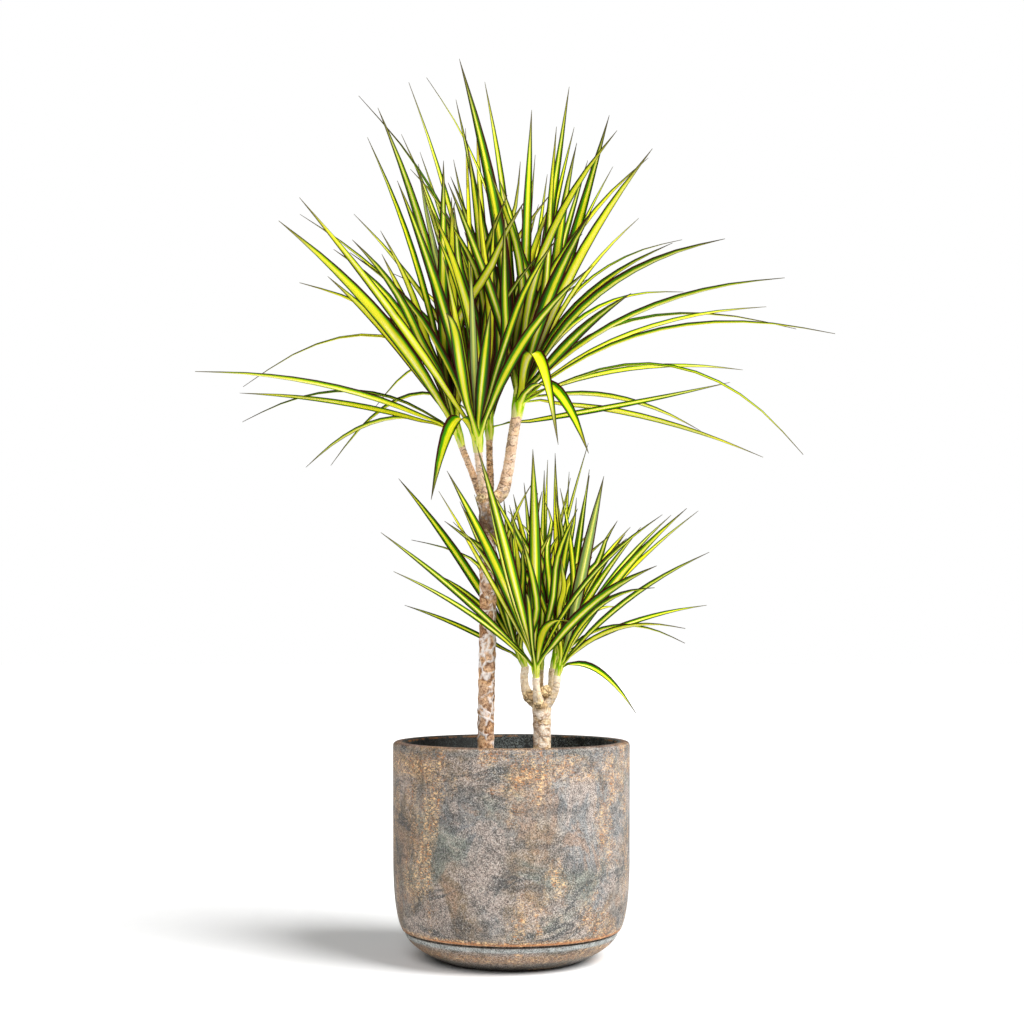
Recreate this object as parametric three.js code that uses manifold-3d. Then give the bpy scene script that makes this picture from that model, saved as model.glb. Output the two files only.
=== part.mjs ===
/**
 * Potted dracaena: two canes of a red-edged dracaena in one round weathered pot.
 *
 * Lengths are millimetres and +Z is up. The origin is on the floor under the middle of the
 * pot, +X is to the right and -Y faces the viewer. The tall cane forks into four heads of
 * leaves and the short one into five. Each head is a slim shoot with its leaves fused to it.
 */
import * as THREE from "three";
import { mergeVertices } from "three/addons/utils/BufferGeometryUtils.js";
import Module from "manifold-3d";

const wasm = await Module();
wasm.setup();

// Driving dimensions.
const POT_DIAMETER = 240;
const POT_HEIGHT = 216;
const POT_SEGMENTS = 44;
const POT_LEAN_IN = 0.8; // the wall is this much nearer the axis at the shoulder than at the rim
const RIM_WIDTH = 13;
const RIM_ROUNDING = 4;
const RIM_INNER_ROUNDING = 2.5;
const FOOT_FLAT_RADIUS = 71;
const FOOT_RADIUS = 107; // at the ledge over the rounded foot
const FOOT_HEIGHT = 26; // of the rounded part, from the floor to the ledge
const FOOT_BULGE = [102, 13]; // radius and height that the foot's curve bends towards
const GROOVE_HEIGHT = 2.2;
const GROOVE_DEPTH = 3;
const SHOULDER_HEIGHT = 95; // where the rounded underside of the body meets the wall
const POT_FLOOR_HEIGHT = 20;
const POT_FLOOR_RADIUS = 90;
const POT_FLOOR_CHAMFER = 6;

const SOIL_BELOW_RIM = 34;
const SOIL_BUMP = 1.8;
const PLANTING_DEPTH = 75;
const GAP = 0.3; // clearance between pieces that touch

const TALL_CANE_RADIUS = 8.6;
const SHORT_CANE_RADIUS = 9.3;
const SCAR_STEP = 10; // height of one row of leaf scars
const SCAR_RELIEF = 0.45;

const LEAF_STATIONS = [0, 0.15, 0.4, 0.65, 0.85, 1]; // shares of a leaf's length
const LEAF_OUTLINE = [0.45, 0.7, 1, 0.8, 0.42, 0]; // share of the full width there
const ROOT_OFFSET = 0.6; // share of the shoot's radius between its axis and a leaf's root
const LOWEST_ROOT = 0.28; // share of the shoot's height
const HIGHEST_ROOT = 0.9;
const KEEL_AT_ROOT = 2.2;
const KEEL_AT_TIP = 1.2;
const BEND_PASSES = 160;
const BEND_MARGIN = 0.45;
const SIDEWAYS_GIVE = 0.2; // a leading leaf is bent mainly in depth, which keeps its outline
const DEPTH_GIVE = 1.5;
const SPIRAL_SQUASH = 0.55; // the spiral's leaves spread less to the sides than in depth
const GOLDEN_ANGLE = THREE.MathUtils.degToRad(137.5);

const SOIL_TOP = POT_HEIGHT - SOIL_BELOW_RIM;
const POT_RADIUS = POT_DIAMETER / 2;
const UP = new THREE.Vector3(0, 0, 1);
const TOWARDS_VIEWER = new THREE.Vector3(0, -1, 0);
const LEADING_GIVE = new THREE.Vector3(SIDEWAYS_GIVE, DEPTH_GIVE, SIDEWAYS_GIVE);

/**
 * The heads of leaves. foot is where the shoot stands on its branch, and lean the way the
 * shoot points. Each leading leaf is [x, y, height of its tip, arch, width], and may end with
 * the share of its length at which the arch peaks. fill is how many more leaves the spiral
 * adds, length how long they are, and facing the compass angle they favour.
 */
const HEADS = [
  {
    name: "tall_head_left", foot: [-51, 4, 516], lean: [-0.25, 0.05], radius: 5.5, height: 46,
    fill: 13, length: 270, facing: 190, seed: 11,
    leading: [
      [-135, -30, 860, 18, 13], [-150, 40, 855, 14, 8], [-65, -30, 805, -12, 13],
      [-220, -150, 715, 18, 15], [-185, -40, 685, 10, 12], [-145, 130, 750, 6, 11],
      [-315, -60, 585, 17, 8], [-295, 90, 585, 9, 7], [-300, 140, 560, 40, 6],
      [-230, 150, 510, 34, 7],
    ],
  },
  {
    name: "tall_head_front", foot: [-34, -14, 509], lean: [-0.05, -0.2], radius: 7.5, height: 46,
    fill: 14, length: 260, facing: 265, seed: 12,
    leading: [
      [-100, 40, 830, 12, 8], [-45, 80, 870, 4, 7], [-205, -120, 745, 7, 10],
      [-79, -70, 456, 46, 20], [-20, -130, 635, 10, 14], [75, -160, 670, 23, 13],
      [-105, -60, 775, 10, 13], [-40, -100, 685, 4, 9], [-65, -80, 695, 4, 9],
    ],
  },
  {
    name: "tall_head_back", foot: [-23, 16, 524], lean: [0, 0.2], radius: 5.5, height: 46,
    fill: 13, length: 290, facing: 100, seed: 13,
    leading: [
      [-110, 60, 920, 13, 8], [-165, 30, 890, 38, 12], [-120, 100, 875, 14, 8],
      [-100, 130, 865, 12, 7], [-65, 50, 840, 6, 9], [-40, 70, 880, 2, 12],
      [-230, 80, 780, 24, 6], [-175, 120, 790, 16, 7], [-295, 110, 595, 78, 7],
      [-200, 130, 510, 56, 7], [-155, 170, 580, 60, 9], [230, 40, 590, -2, 7],
    ],
  },
  {
    name: "tall_head_right", foot: [5, 0, 546], lean: [0.12, 0], radius: 8.5, height: 50,
    fill: 11, length: 290, facing: 20, seed: 14,
    leading: [
      [-50, -40, 905, 12, 16], [-25, 60, 915, 14, 9], [20, 40, 875, 5, 12],
      [60, 50, 910, 0, 11], [95, 10, 870, 0, 14], [140, -20, 820, 15, 13],
      [115, 150, 855, 12, 7], [70, 90, 885, 6, 9], [75, 70, 840, 6, 10],
      [80, -110, 735, 16, 16], [-95, 90, 930, 34, 6], [-60, 30, 890, 2, 9],
      [30, 120, 865, 3, 6], [40, 160, 850, 6, 8], [205, -120, 705, 38, 12],
      [190, 120, 765, 42, 7], [135, 80, 775, 17, 6], [160, -60, 715, 27, 9],
      [110, -140, 650, 12, 12], [270, -80, 675, 31, 9], [305, 60, 650, 52, 9, 0.38],
      [270, 40, 670, 24, 8], [325, -50, 625, 42, 8], [260, 150, 620, 18, 7],
      [295, -30, 505, 66, 8, 0.58], [215, 180, 555, 22, 7], [275, 100, 515, 14, 7],
      [52, -110, 503, 68, 17], [70, -140, 495, 40, 16], [-65, -90, 765, 6, 11],
    ],
  },
  {
    name: "short_head_left", foot: [14, 3, 289], lean: [-0.3, 0.05], radius: 5, height: 34,
    fill: 9, length: 175, facing: 175, seed: 21,
    leading: [
      [-115, 60, 490, 8, 11], [-115, 90, 355, 5, 6], [-85, 60, 390, 12, 7],
      [-55, 50, 465, 5, 8], [-40, 40, 470, 4, 8], [-5, 20, 465, 3, 8],
    ],
  },
  {
    name: "short_head_front", foot: [25, -12, 279], lean: [-0.05, -0.25], radius: 5, height: 34,
    fill: 8, length: 180, facing: 265, seed: 22,
    leading: [
      [-130, -50, 425, 5, 8], [-115, -80, 385, 9, 6], [-70, -30, 470, 3, 6],
      [-60, -70, 485, 6, 13], [-30, -90, 505, 4, 12], [-25, -50, 465, -5, 6],
      [20, -60, 505, -3, 14], [145, -90, 440, 17, 7], [135, -120, 390, 15, 12],
      [60, -90, 335, 22, 11],
    ],
  },
  {
    name: "short_head_back", foot: [30, 17, 285], lean: [0, 0.3], radius: 4.6, height: 32,
    fill: 8, length: 180, facing: 95, seed: 23,
    leading: [
      [15, 60, 485, 3, 8], [20, 40, 480, 2, 8], [35, 70, 500, 2, 8],
      [40, 100, 515, 2, 6], [65, 50, 490, 3, 7], [85, 10, 520, 3, 5],
      [90, 150, 410, 6, 7],
    ],
  },
  {
    name: "short_head_right_back", foot: [42, 7, 287], lean: [0.2, 0.15], radius: 4.8, height: 34,
    fill: 8, length: 175, facing: 40, seed: 24,
    leading: [
      [45, 50, 515, -3, 9], [60, 90, 500, 2, 6], [75, 20, 490, 3, 9],
      [130, 100, 440, 12, 9], [120, 60, 430, 6, 9], [135, 30, 435, 5, 8],
      [195, 40, 455, 10, 6], [210, 90, 355, 10, 7], [175, -20, 315, 27, 6],
    ],
  },
  {
    name: "short_head_right_front", foot: [46, -9, 281], lean: [0.25, -0.15], radius: 4.8, height: 34,
    fill: 8, length: 175, facing: 325, seed: 25,
    leading: [
      [-30, -60, 480, 8, 7], [90, -50, 480, 2, 14], [75, 30, 495, 3, 7],
      [170, 70, 450, 12, 7], [175, -40, 450, 10, 11], [195, -60, 405, 12, 7],
      [170, -70, 330, 20, 7], [125, -20, 245, 19, 9],
    ],
  },
];

/** The canes. Each route is a list of [x, y, z, radius], and each branch ends under its head. */
const CANES = [
  {
    name: "tall_cane", color: 0xb59a7d,
    trunk: [
      [-26, 0, SOIL_TOP - PLANTING_DEPTH, TALL_CANE_RADIUS], [-26, 0, 230, TALL_CANE_RADIUS],
      [-24, 0, 350, TALL_CANE_RADIUS], [-24.5, 0, 430, TALL_CANE_RADIUS], [-25, 0, 462, 9],
    ],
    branches: {
      tall_head_left: [[-26, 0, 452, 5], [-34, 1, 474, 4.3], [-43, 3, 496, 3.4]],
      tall_head_front: [[-26, -2, 452, 5], [-29, -7, 476, 4.6], [-32, -11, 492, 4.2]],
      tall_head_back: [[-24, 3, 452, 5], [-22, 9, 478, 4], [-22.5, 13, 502, 3.4]],
      tall_head_right: [[-22, 0, 458, 6.5], [-10.5, 0, 468, 6.8], [-4.5, 0, 487, 6], [0, 0, 516, 5.6]],
    },
  },
  {
    name: "short_cane", color: 0xc9b8a2,
    trunk: [
      [31, 0, SOIL_TOP - PLANTING_DEPTH, SHORT_CANE_RADIUS], [31, 0, 200, SHORT_CANE_RADIUS],
      [31, 0, 240, SHORT_CANE_RADIUS], [31, 0, 254, 10],
    ],
    branches: {
      short_head_left: [[28, 0, 250, 5.4], [17.5, 2, 262, 5.8], [13.5, 3, 273, 4.2]],
      short_head_front: [[30, -2, 248, 5.4], [27, -9, 259, 5.4], [25.5, -11, 267, 4]],
      short_head_back: [[31, 3, 247, 4.6], [30.5, 12, 259, 4.6], [30, 15, 270, 3.2]],
      short_head_right_back: [[33, 1, 249, 5], [40.5, 4, 262, 5], [41.5, 6, 273, 4.2]],
      short_head_right_front: [[33, -2, 248, 5], [40.5, -5, 260, 5.2], [45, -8, 269, 3.8]],
    },
  },
];

/** Returns a repeatable random number generator, with values from 0 to 1. */
function randomSource(seed) {
  let state = seed * 7919 + 1;
  return () => {
    state = (state * 48271) % 2147483647;
    return state / 2147483647;
  };
}

/** Returns points on an arc in a profile, from one angle to the other, in degrees. */
function arcPoints(centreR, centreZ, radius, fromDegrees, toDegrees, steps) {
  return Array.from({ length: steps + 1 }, (_, i) => {
    const angle = THREE.MathUtils.degToRad(THREE.MathUtils.lerp(fromDegrees, toDegrees, i / steps));
    return new THREE.Vector2(centreR + radius * Math.cos(angle), centreZ + radius * Math.sin(angle));
  });
}

/** Turns a closed geometry into a manifold-3d solid. */
function toSolid(geometry) {
  const bare = geometry.clone();
  bare.deleteAttribute("normal");
  bare.deleteAttribute("uv");
  const merged = mergeVertices(bare, 1e-4);
  return new wasm.Manifold(new wasm.Mesh({
    numProp: 3,
    vertProperties: new Float32Array(merged.attributes.position.array),
    triVerts: new Uint32Array(merged.index.array),
  }));
}

/** Turns a manifold-3d solid back into a geometry with flat faces. */
function toGeometry(solid) {
  const mesh = solid.getMesh();
  const geometry = new THREE.BufferGeometry();
  geometry.setAttribute("position", new THREE.BufferAttribute(mesh.vertProperties, 3));
  geometry.setIndex(new THREE.BufferAttribute(mesh.triVerts, 1));
  geometry.computeVertexNormals();
  return geometry;
}

/** Keeps the largest body of a solid: loose scraps and sealed hollows are left out. */
function largestBody(solid) {
  const bodies = solid.decompose();
  return bodies.reduce((best, body) => (body.volume() > best.volume() ? body : best));
}

/** Skins rings of equal point count, in order, and closes both ends with a fan. */
function skinRings(rings) {
  const sides = rings[0].length;
  const positions = rings.flat().flatMap((point) => point.toArray());
  const faces = [];
  for (let ring = 0; ring < rings.length - 1; ring++) {
    for (let side = 0; side < sides; side++) {
      const next = (side + 1) % sides;
      const low = ring * sides;
      const high = low + sides;
      faces.push(low + side, low + next, high + next);
      faces.push(low + side, high + next, high + side);
    }
  }
  const last = (rings.length - 1) * sides;
  for (let side = 1; side < sides - 1; side++) {
    faces.push(0, side + 1, side);
    faces.push(last, last + side, last + side + 1);
  }
  const geometry = new THREE.BufferGeometry();
  geometry.setAttribute("position", new THREE.Float32BufferAttribute(positions, 3));
  geometry.setIndex(faces);
  return geometry;
}

/** Makes the pot: a rounded foot, a groove, a near-straight body and a soft rim. */
function makePot() {
  const ledge = FOOT_HEIGHT + 2;
  const bodyBottom = ledge + GROOVE_HEIGHT;
  const foot = new THREE.QuadraticBezierCurve(
    new THREE.Vector2(FOOT_FLAT_RADIUS, 0),
    new THREE.Vector2(...FOOT_BULGE),
    new THREE.Vector2(FOOT_RADIUS, FOOT_HEIGHT),
  );
  const underside = new THREE.QuadraticBezierCurve(
    new THREE.Vector2(FOOT_RADIUS + GROOVE_DEPTH, bodyBottom),
    new THREE.Vector2(POT_RADIUS - POT_LEAN_IN - 1, bodyBottom + 14),
    new THREE.Vector2(POT_RADIUS - POT_LEAN_IN, SHOULDER_HEIGHT),
  );
  const innerRadius = POT_RADIUS - RIM_WIDTH;
  const profile = [
    new THREE.Vector2(0, 0),
    ...foot.getPoints(5),
    new THREE.Vector2(FOOT_RADIUS, ledge),
    new THREE.Vector2(FOOT_RADIUS - GROOVE_DEPTH, ledge + 0.6),
    new THREE.Vector2(FOOT_RADIUS - GROOVE_DEPTH, bodyBottom),
    ...underside.getPoints(5),
    ...arcPoints(POT_RADIUS - RIM_ROUNDING, POT_HEIGHT - RIM_ROUNDING, RIM_ROUNDING, 0, 90, 3),
    ...arcPoints(innerRadius + RIM_INNER_ROUNDING, POT_HEIGHT - RIM_INNER_ROUNDING,
      RIM_INNER_ROUNDING, 90, 180, 2),
    new THREE.Vector2(POT_FLOOR_RADIUS + POT_FLOOR_CHAMFER, POT_FLOOR_HEIGHT + POT_FLOOR_CHAMFER),
    new THREE.Vector2(POT_FLOOR_RADIUS, POT_FLOOR_HEIGHT),
    new THREE.Vector2(0, POT_FLOOR_HEIGHT),
  ];
  return toSolid(new THREE.LatheGeometry(profile, POT_SEGMENTS));
}

/** Returns the radius of the pot's inner wall at a height above its chamfer. */
function innerWallRadius(height) {
  const low = POT_FLOOR_HEIGHT + POT_FLOOR_CHAMFER;
  const high = POT_HEIGHT - RIM_INNER_ROUNDING;
  const share = (height - low) / (high - low);
  return THREE.MathUtils.lerp(POT_FLOOR_RADIUS + POT_FLOOR_CHAMFER, POT_RADIUS - RIM_WIDTH, share);
}

/** Returns how far the soil's surface stands above or below its level at a place. */
function soilBump(x, y) {
  const coarse = Math.sin(0.071 * x + 1.3) * Math.cos(0.083 * y - 0.4);
  const fine = Math.sin(0.23 * x - 0.17 * y) * Math.cos(0.19 * x + 0.27 * y + 2);
  return SOIL_BUMP * (0.6 * coarse + 0.5 * fine);
}

/** Makes the soil: it fills the pot, with a crumbly top and a plain hole for each cane. */
function makeSoil() {
  const edge = innerWallRadius(SOIL_TOP) - GAP;
  const topRings = 5;
  const profile = [
    new THREE.Vector2(0, POT_FLOOR_HEIGHT + GAP),
    new THREE.Vector2(POT_FLOOR_RADIUS - GAP, POT_FLOOR_HEIGHT + GAP),
    new THREE.Vector2(innerWallRadius(POT_FLOOR_HEIGHT + POT_FLOOR_CHAMFER) - GAP,
      POT_FLOOR_HEIGHT + POT_FLOOR_CHAMFER + GAP),
  ];
  for (let ring = topRings; ring >= 0; ring--) {
    profile.push(new THREE.Vector2((edge * ring) / topRings, SOIL_TOP));
  }
  const geometry = new THREE.LatheGeometry(profile, POT_SEGMENTS);
  // A lathe turns its profile about Y, so Z is still across here.
  const position = geometry.attributes.position;
  for (let i = 0; i < position.count; i++) {
    const inside = Math.hypot(position.getX(i), position.getZ(i)) < edge - 1;
    if (position.getY(i) === SOIL_TOP && inside) {
      position.setY(i, SOIL_TOP + soilBump(position.getX(i), -position.getZ(i)));
    }
  }
  return toSolid(geometry);
}

/**
 * Makes a round bar along a route of [x, y, z, radius], with rows of diamond leaf scars
 * above a height. Its far end is square to endAxis.
 */
function makeLimb(route, sides, scarsAbove, endAxis) {
  const curve = new THREE.CatmullRomCurve3(route.map(([x, y, z]) => new THREE.Vector3(x, y, z)));
  const rows = Math.max(4, Math.round(curve.getLength() / SCAR_STEP));
  const rings = [];
  let across = new THREE.Vector3(1, 0, 0);
  for (let row = 0; row <= rows; row++) {
    const share = row / rows;
    const centre = curve.getPoint(share);
    const along = row === rows ? endAxis : curve.getTangent(share);
    across = across.clone().addScaledVector(along, -across.dot(along)).normalize();
    const other = along.clone().cross(across);
    const radius = radiusAlong(route, share);
    const ring = [];
    for (let side = 0; side < sides; side++) {
      const angle = (2 * Math.PI * side) / sides;
      const isPlain = centre.z < scarsAbove || row === rows;
      const scar = isPlain ? 0 : SCAR_RELIEF * ((row + side) % 2 === 0 ? 1 : -1);
      ring.push(centre.clone()
        .addScaledVector(across, (radius + scar) * Math.cos(angle))
        .addScaledVector(other, (radius + scar) * Math.sin(angle)));
    }
    rings.push(ring);
  }
  return toSolid(skinRings(rings));
}

/** Reads a route's radius at a share of its points. */
function radiusAlong(route, share) {
  const place = share * (route.length - 1);
  const low = Math.min(Math.floor(place), route.length - 2);
  return THREE.MathUtils.lerp(route[low][3], route[low + 1][3], place - low);
}

/** Returns the way that a head's shoot points. */
function shootAxis(head) {
  return new THREE.Vector3(head.lean[0], head.lean[1], 1).normalize();
}

/** Makes one cane: the trunk with its branches, each ending just under its head. */
function makeCane(cane) {
  const limbs = [makeLimb(cane.trunk, 10, SOIL_TOP, UP)];
  for (const [name, route] of Object.entries(cane.branches)) {
    const head = HEADS.find((candidate) => candidate.name === name);
    const axis = shootAxis(head);
    const end = new THREE.Vector3(...head.foot).addScaledVector(axis, -GAP);
    const radius = route[route.length - 1][3];
    limbs.push(makeLimb([...route, [...end.toArray(), radius]], 8, 0, axis));
  }
  return largestBody(wasm.Manifold.union(limbs));
}

/**
 * Works out one leaf: the points of its midrib, its width and the way its edges point. Its
 * root is sunk in the shoot at a share of the shoot's height, on the side that faces its tip.
 */
function plotLeaf(head, { tip, arch, width, peak = 0.45, isLeading }, height) {
  const foot = new THREE.Vector3(...head.foot);
  const outward = tip.clone().sub(foot).setZ(0).normalize();
  const root = foot.addScaledVector(shootAxis(head), head.height * height)
    .addScaledVector(outward, ROOT_OFFSET * head.radius);
  const chord = tip.clone().sub(root);
  const along = chord.clone().normalize();
  const rising = UP.clone().addScaledVector(along, -Math.max(0, along.z)).normalize();
  const control = root.clone().addScaledVector(chord, peak).addScaledVector(rising, 2 * arch);
  const curve = new THREE.QuadraticBezierCurve3(root, control, tip);
  const points = LEAF_STATIONS.map((share) => curve.getPoint(share));
  return { head, points, width, edge: faceViewer(along, rising, arch), isLeading };
}

/** Returns the way a leaf's edges point: level, then turned part of the way to the viewer. */
function faceViewer(along, rising, arch) {
  const level = along.clone().cross(rising).normalize();
  const face = level.clone().cross(along);
  const wanted = TOWARDS_VIEWER.clone().addScaledVector(along, -TOWARDS_VIEWER.dot(along)).normalize();
  if (wanted.dot(face) < 0) wanted.negate();
  const fullTurn = Math.atan2(face.clone().cross(wanted).dot(along), face.dot(wanted));
  const share = THREE.MathUtils.clamp(1 - Math.abs(arch) / 45, 0.25, 0.85);
  return level.applyAxisAngle(along, fullTurn * share);
}

/** Returns a head's golden-angle spiral of further leaves, from the oldest to the youngest. */
function spiralLeaves(head) {
  const random = randomSource(head.seed);
  const favoured = THREE.MathUtils.degToRad(head.facing);
  return Array.from({ length: head.fill }, (_, k) => {
    const age = k / (head.fill - 1); // 0 is the oldest and lowest leaf, 1 the youngest
    const around = favoured + k * GOLDEN_ANGLE;
    const rise = THREE.MathUtils.degToRad(34 + 46 * age ** 0.8 + 10 * (random() - 0.5));
    const length = head.length * (0.82 + 0.26 * random());
    const out = Math.cos(rise);
    const reach = new THREE.Vector3(
      SPIRAL_SQUASH * out * (Math.cos(around) + 0.5 * Math.cos(favoured)),
      out * (Math.sin(around) + 0.3 * Math.sin(favoured)),
      Math.sin(rise),
    ).normalize();
    return {
      tip: new THREE.Vector3(...head.foot).addScaledVector(reach, length),
      arch: length * (0.05 + 0.1 * (1 - age)),
      width: (head.length / 290) ** 0.5 * (9 + 4 * random()),
      isLeading: false,
    };
  });
}

/** Lays out a head's leaves, with the lowest tips on the lowest roots up the shoot. */
function plotHead(head) {
  const leading = head.leading.map(([x, y, z, arch, width, peak]) =>
    ({ tip: new THREE.Vector3(x, y, z), arch, width, peak, isLeading: true }));
  const foot = new THREE.Vector3(...head.foot);
  const steepness = ({ tip }) => tip.clone().sub(foot).normalize().z;
  const leaves = [...leading, ...spiralLeaves(head)].sort((a, b) => steepness(a) - steepness(b));
  return leaves.map((leaf, rank) => {
    const share = rank / (leaves.length - 1);
    return plotLeaf(head, leaf, THREE.MathUtils.lerp(LOWEST_ROOT, HIGHEST_ROOT, share));
  });
}

/** Returns a leaf's thickness at its keel at a share of its length. */
function keelDepth(share) {
  return THREE.MathUtils.lerp(KEEL_AT_ROOT, KEEL_AT_TIP, share);
}

/** Gives a leaf its edge and face directions at each point of its midrib. */
function frameLeaf(leaf) {
  const { points } = leaf;
  const last = points.length - 1;
  leaf.edges = [];
  leaf.faces = [];
  for (let i = 0; i <= last; i++) {
    const along = points[Math.min(i + 1, last)].clone().sub(points[Math.max(i - 1, 0)]).normalize();
    const edge = leaf.edge.clone().addScaledVector(along, -leaf.edge.dot(along)).normalize();
    leaf.edges.push(edge);
    leaf.faces.push(edge.clone().cross(along));
  }
}

/** Finds the nearest points of two segments, as shares of each and the vector between. */
function nearestApproach(a0, a1, b0, b1) {
  const a = a1.clone().sub(a0);
  const b = b1.clone().sub(b0);
  const r = a0.clone().sub(b0);
  const aa = a.dot(a);
  const bb = b.dot(b);
  const ab = a.dot(b);
  const ar = a.dot(r);
  const br = b.dot(r);
  const spread = aa * bb - ab * ab;
  let s = spread > 1e-9 ? THREE.MathUtils.clamp((ab * br - ar * bb) / spread, 0, 1) : 0.5;
  const t = THREE.MathUtils.clamp((ab * s + br) / bb, 0, 1);
  s = THREE.MathUtils.clamp((ab * t - ar) / aa, 0, 1);
  const away = r.addScaledVector(a, s).addScaledVector(b, -t);
  const distance = away.length();
  if (distance < 1e-6) away.crossVectors(a, b);
  return { s, t, distance, away: away.normalize() };
}

/** Returns how far a blade's section reaches in a direction, over one of its segments. */
function bladeReach(leaf, segment, direction) {
  const reaches = [segment, segment + 1].map((i) => {
    const half = 0.5 * leaf.width * LEAF_OUTLINE[i];
    const keel = keelDepth(LEAF_STATIONS[i]);
    return half * Math.abs(leaf.edges[i].dot(direction)) + keel * Math.abs(leaf.faces[i].dot(direction));
  });
  return Math.max(...reaches);
}

/** Adds to a leaf's pending bend so that it swings by a push at a share of its length. */
function bendLeaf(leaf, share, push) {
  if (leaf.isLeading) push.multiply(LEADING_GIVE);
  const held = Math.max(share, 0.12);
  for (let i = 1; i < leaf.points.length; i++) {
    const swing = Math.min((LEAF_STATIONS[i] / held) ** 1.5, 1.6);
    leaf.bend[i].addScaledVector(push, swing);
  }
}

/** Returns the segments of a leaf with their middles and half lengths, for quick sorting. */
function measureSegments(leaf) {
  return leaf.points.slice(1).map((end, i) => {
    const start = leaf.points[i];
    return { middle: start.clone().add(end).multiplyScalar(0.5), half: start.distanceTo(end) / 2 };
  });
}

/** Pushes two leaves apart wherever their blades come too close. */
function partLeaves(first, second) {
  const sameHead = first.head === second.head;
  let worst = 0;
  for (let i = sameHead ? 1 : 0; i < first.segments.length; i++) {
    for (let j = sameHead ? 1 : 0; j < second.segments.length; j++) {
      const a = first.segments[i];
      const b = second.segments[j];
      const reach = a.half + b.half + 20;
      if (a.middle.distanceToSquared(b.middle) > reach * reach) continue;
      const near = nearestApproach(first.points[i], first.points[i + 1],
        second.points[j], second.points[j + 1]);
      const needed = bladeReach(first, i, near.away) + bladeReach(second, j, near.away) + BEND_MARGIN;
      const lack = needed - near.distance;
      if (lack <= 0) continue;
      if (!sameHead) worst = Math.max(worst, lack);
      const give = first.isLeading === second.isLeading ? 0.5 : (first.isLeading ? 0.25 : 0.75);
      const shareA = THREE.MathUtils.lerp(LEAF_STATIONS[i], LEAF_STATIONS[i + 1], near.s);
      const shareB = THREE.MathUtils.lerp(LEAF_STATIONS[j], LEAF_STATIONS[j + 1], near.t);
      const strength = sameHead ? 0.25 : 0.6;
      bendLeaf(first, shareA, near.away.clone().multiplyScalar(lack * give * strength));
      bendLeaf(second, shareB, near.away.clone().multiplyScalar(-lack * (1 - give) * strength));
    }
  }
  return worst;
}

/** Pushes a leaf clear of a fixed round limb. */
function clearLimb(leaf, limb) {
  let worst = 0;
  leaf.segments.forEach((segment, i) => {
    const reach = segment.half + limb.from.distanceTo(limb.to) + 30;
    if (segment.middle.distanceToSquared(limb.from) > reach * reach) return;
    const near = nearestApproach(leaf.points[i], leaf.points[i + 1], limb.from, limb.to);
    const lack = bladeReach(leaf, i, near.away) + limb.radius + BEND_MARGIN - near.distance;
    if (lack <= 0) return;
    worst = Math.max(worst, lack);
    const share = THREE.MathUtils.lerp(LEAF_STATIONS[i], LEAF_STATIONS[i + 1], near.s);
    bendLeaf(leaf, share, near.away.clone().multiplyScalar(lack * 0.8));
  });
  return worst;
}

/** Lists the fixed limbs that leaves keep clear of: canes, branches and the other shoots. */
function listLimbs() {
  const limbs = [];
  const addRoute = (route, owner) => {
    for (let i = 0; i < route.length - 1; i++) {
      limbs.push({
        from: new THREE.Vector3(...route[i].slice(0, 3)),
        to: new THREE.Vector3(...route[i + 1].slice(0, 3)),
        radius: Math.max(route[i][3], route[i + 1][3]) + SCAR_RELIEF,
        owner,
      });
    }
  };
  for (const cane of CANES) {
    addRoute(cane.trunk, null);
    for (const [name, route] of Object.entries(cane.branches)) {
      const head = HEADS.find((candidate) => candidate.name === name);
      addRoute([...route, [...head.foot, route[route.length - 1][3]]], head);
    }
  }
  for (const head of HEADS) {
    const from = new THREE.Vector3(...head.foot);
    const to = from.clone().addScaledVector(shootAxis(head), head.height);
    limbs.push({ from, to, radius: head.radius, owner: head });
  }
  return limbs;
}

/** Bends leaves until none crosses a leaf of another head, a cane or another shoot. */
function bendClear(leaves) {
  const limbs = listLimbs();
  for (let pass = 0; pass < BEND_PASSES; pass++) {
    for (const leaf of leaves) {
      frameLeaf(leaf);
      leaf.segments = measureSegments(leaf);
      leaf.bend = leaf.points.map(() => new THREE.Vector3());
    }
    let worst = 0;
    for (let i = 0; i < leaves.length; i++) {
      for (let j = i + 1; j < leaves.length; j++) {
        worst = Math.max(worst, partLeaves(leaves[i], leaves[j]));
      }
      for (const limb of limbs) {
        if (limb.owner !== leaves[i].head) worst = Math.max(worst, clearLimb(leaves[i], limb));
      }
    }
    if (worst < 0.1) break;
    for (const leaf of leaves) {
      leaf.points.forEach((point, i) => point.add(leaf.bend[i]));
    }
  }
  leaves.forEach(frameLeaf);
}

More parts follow.
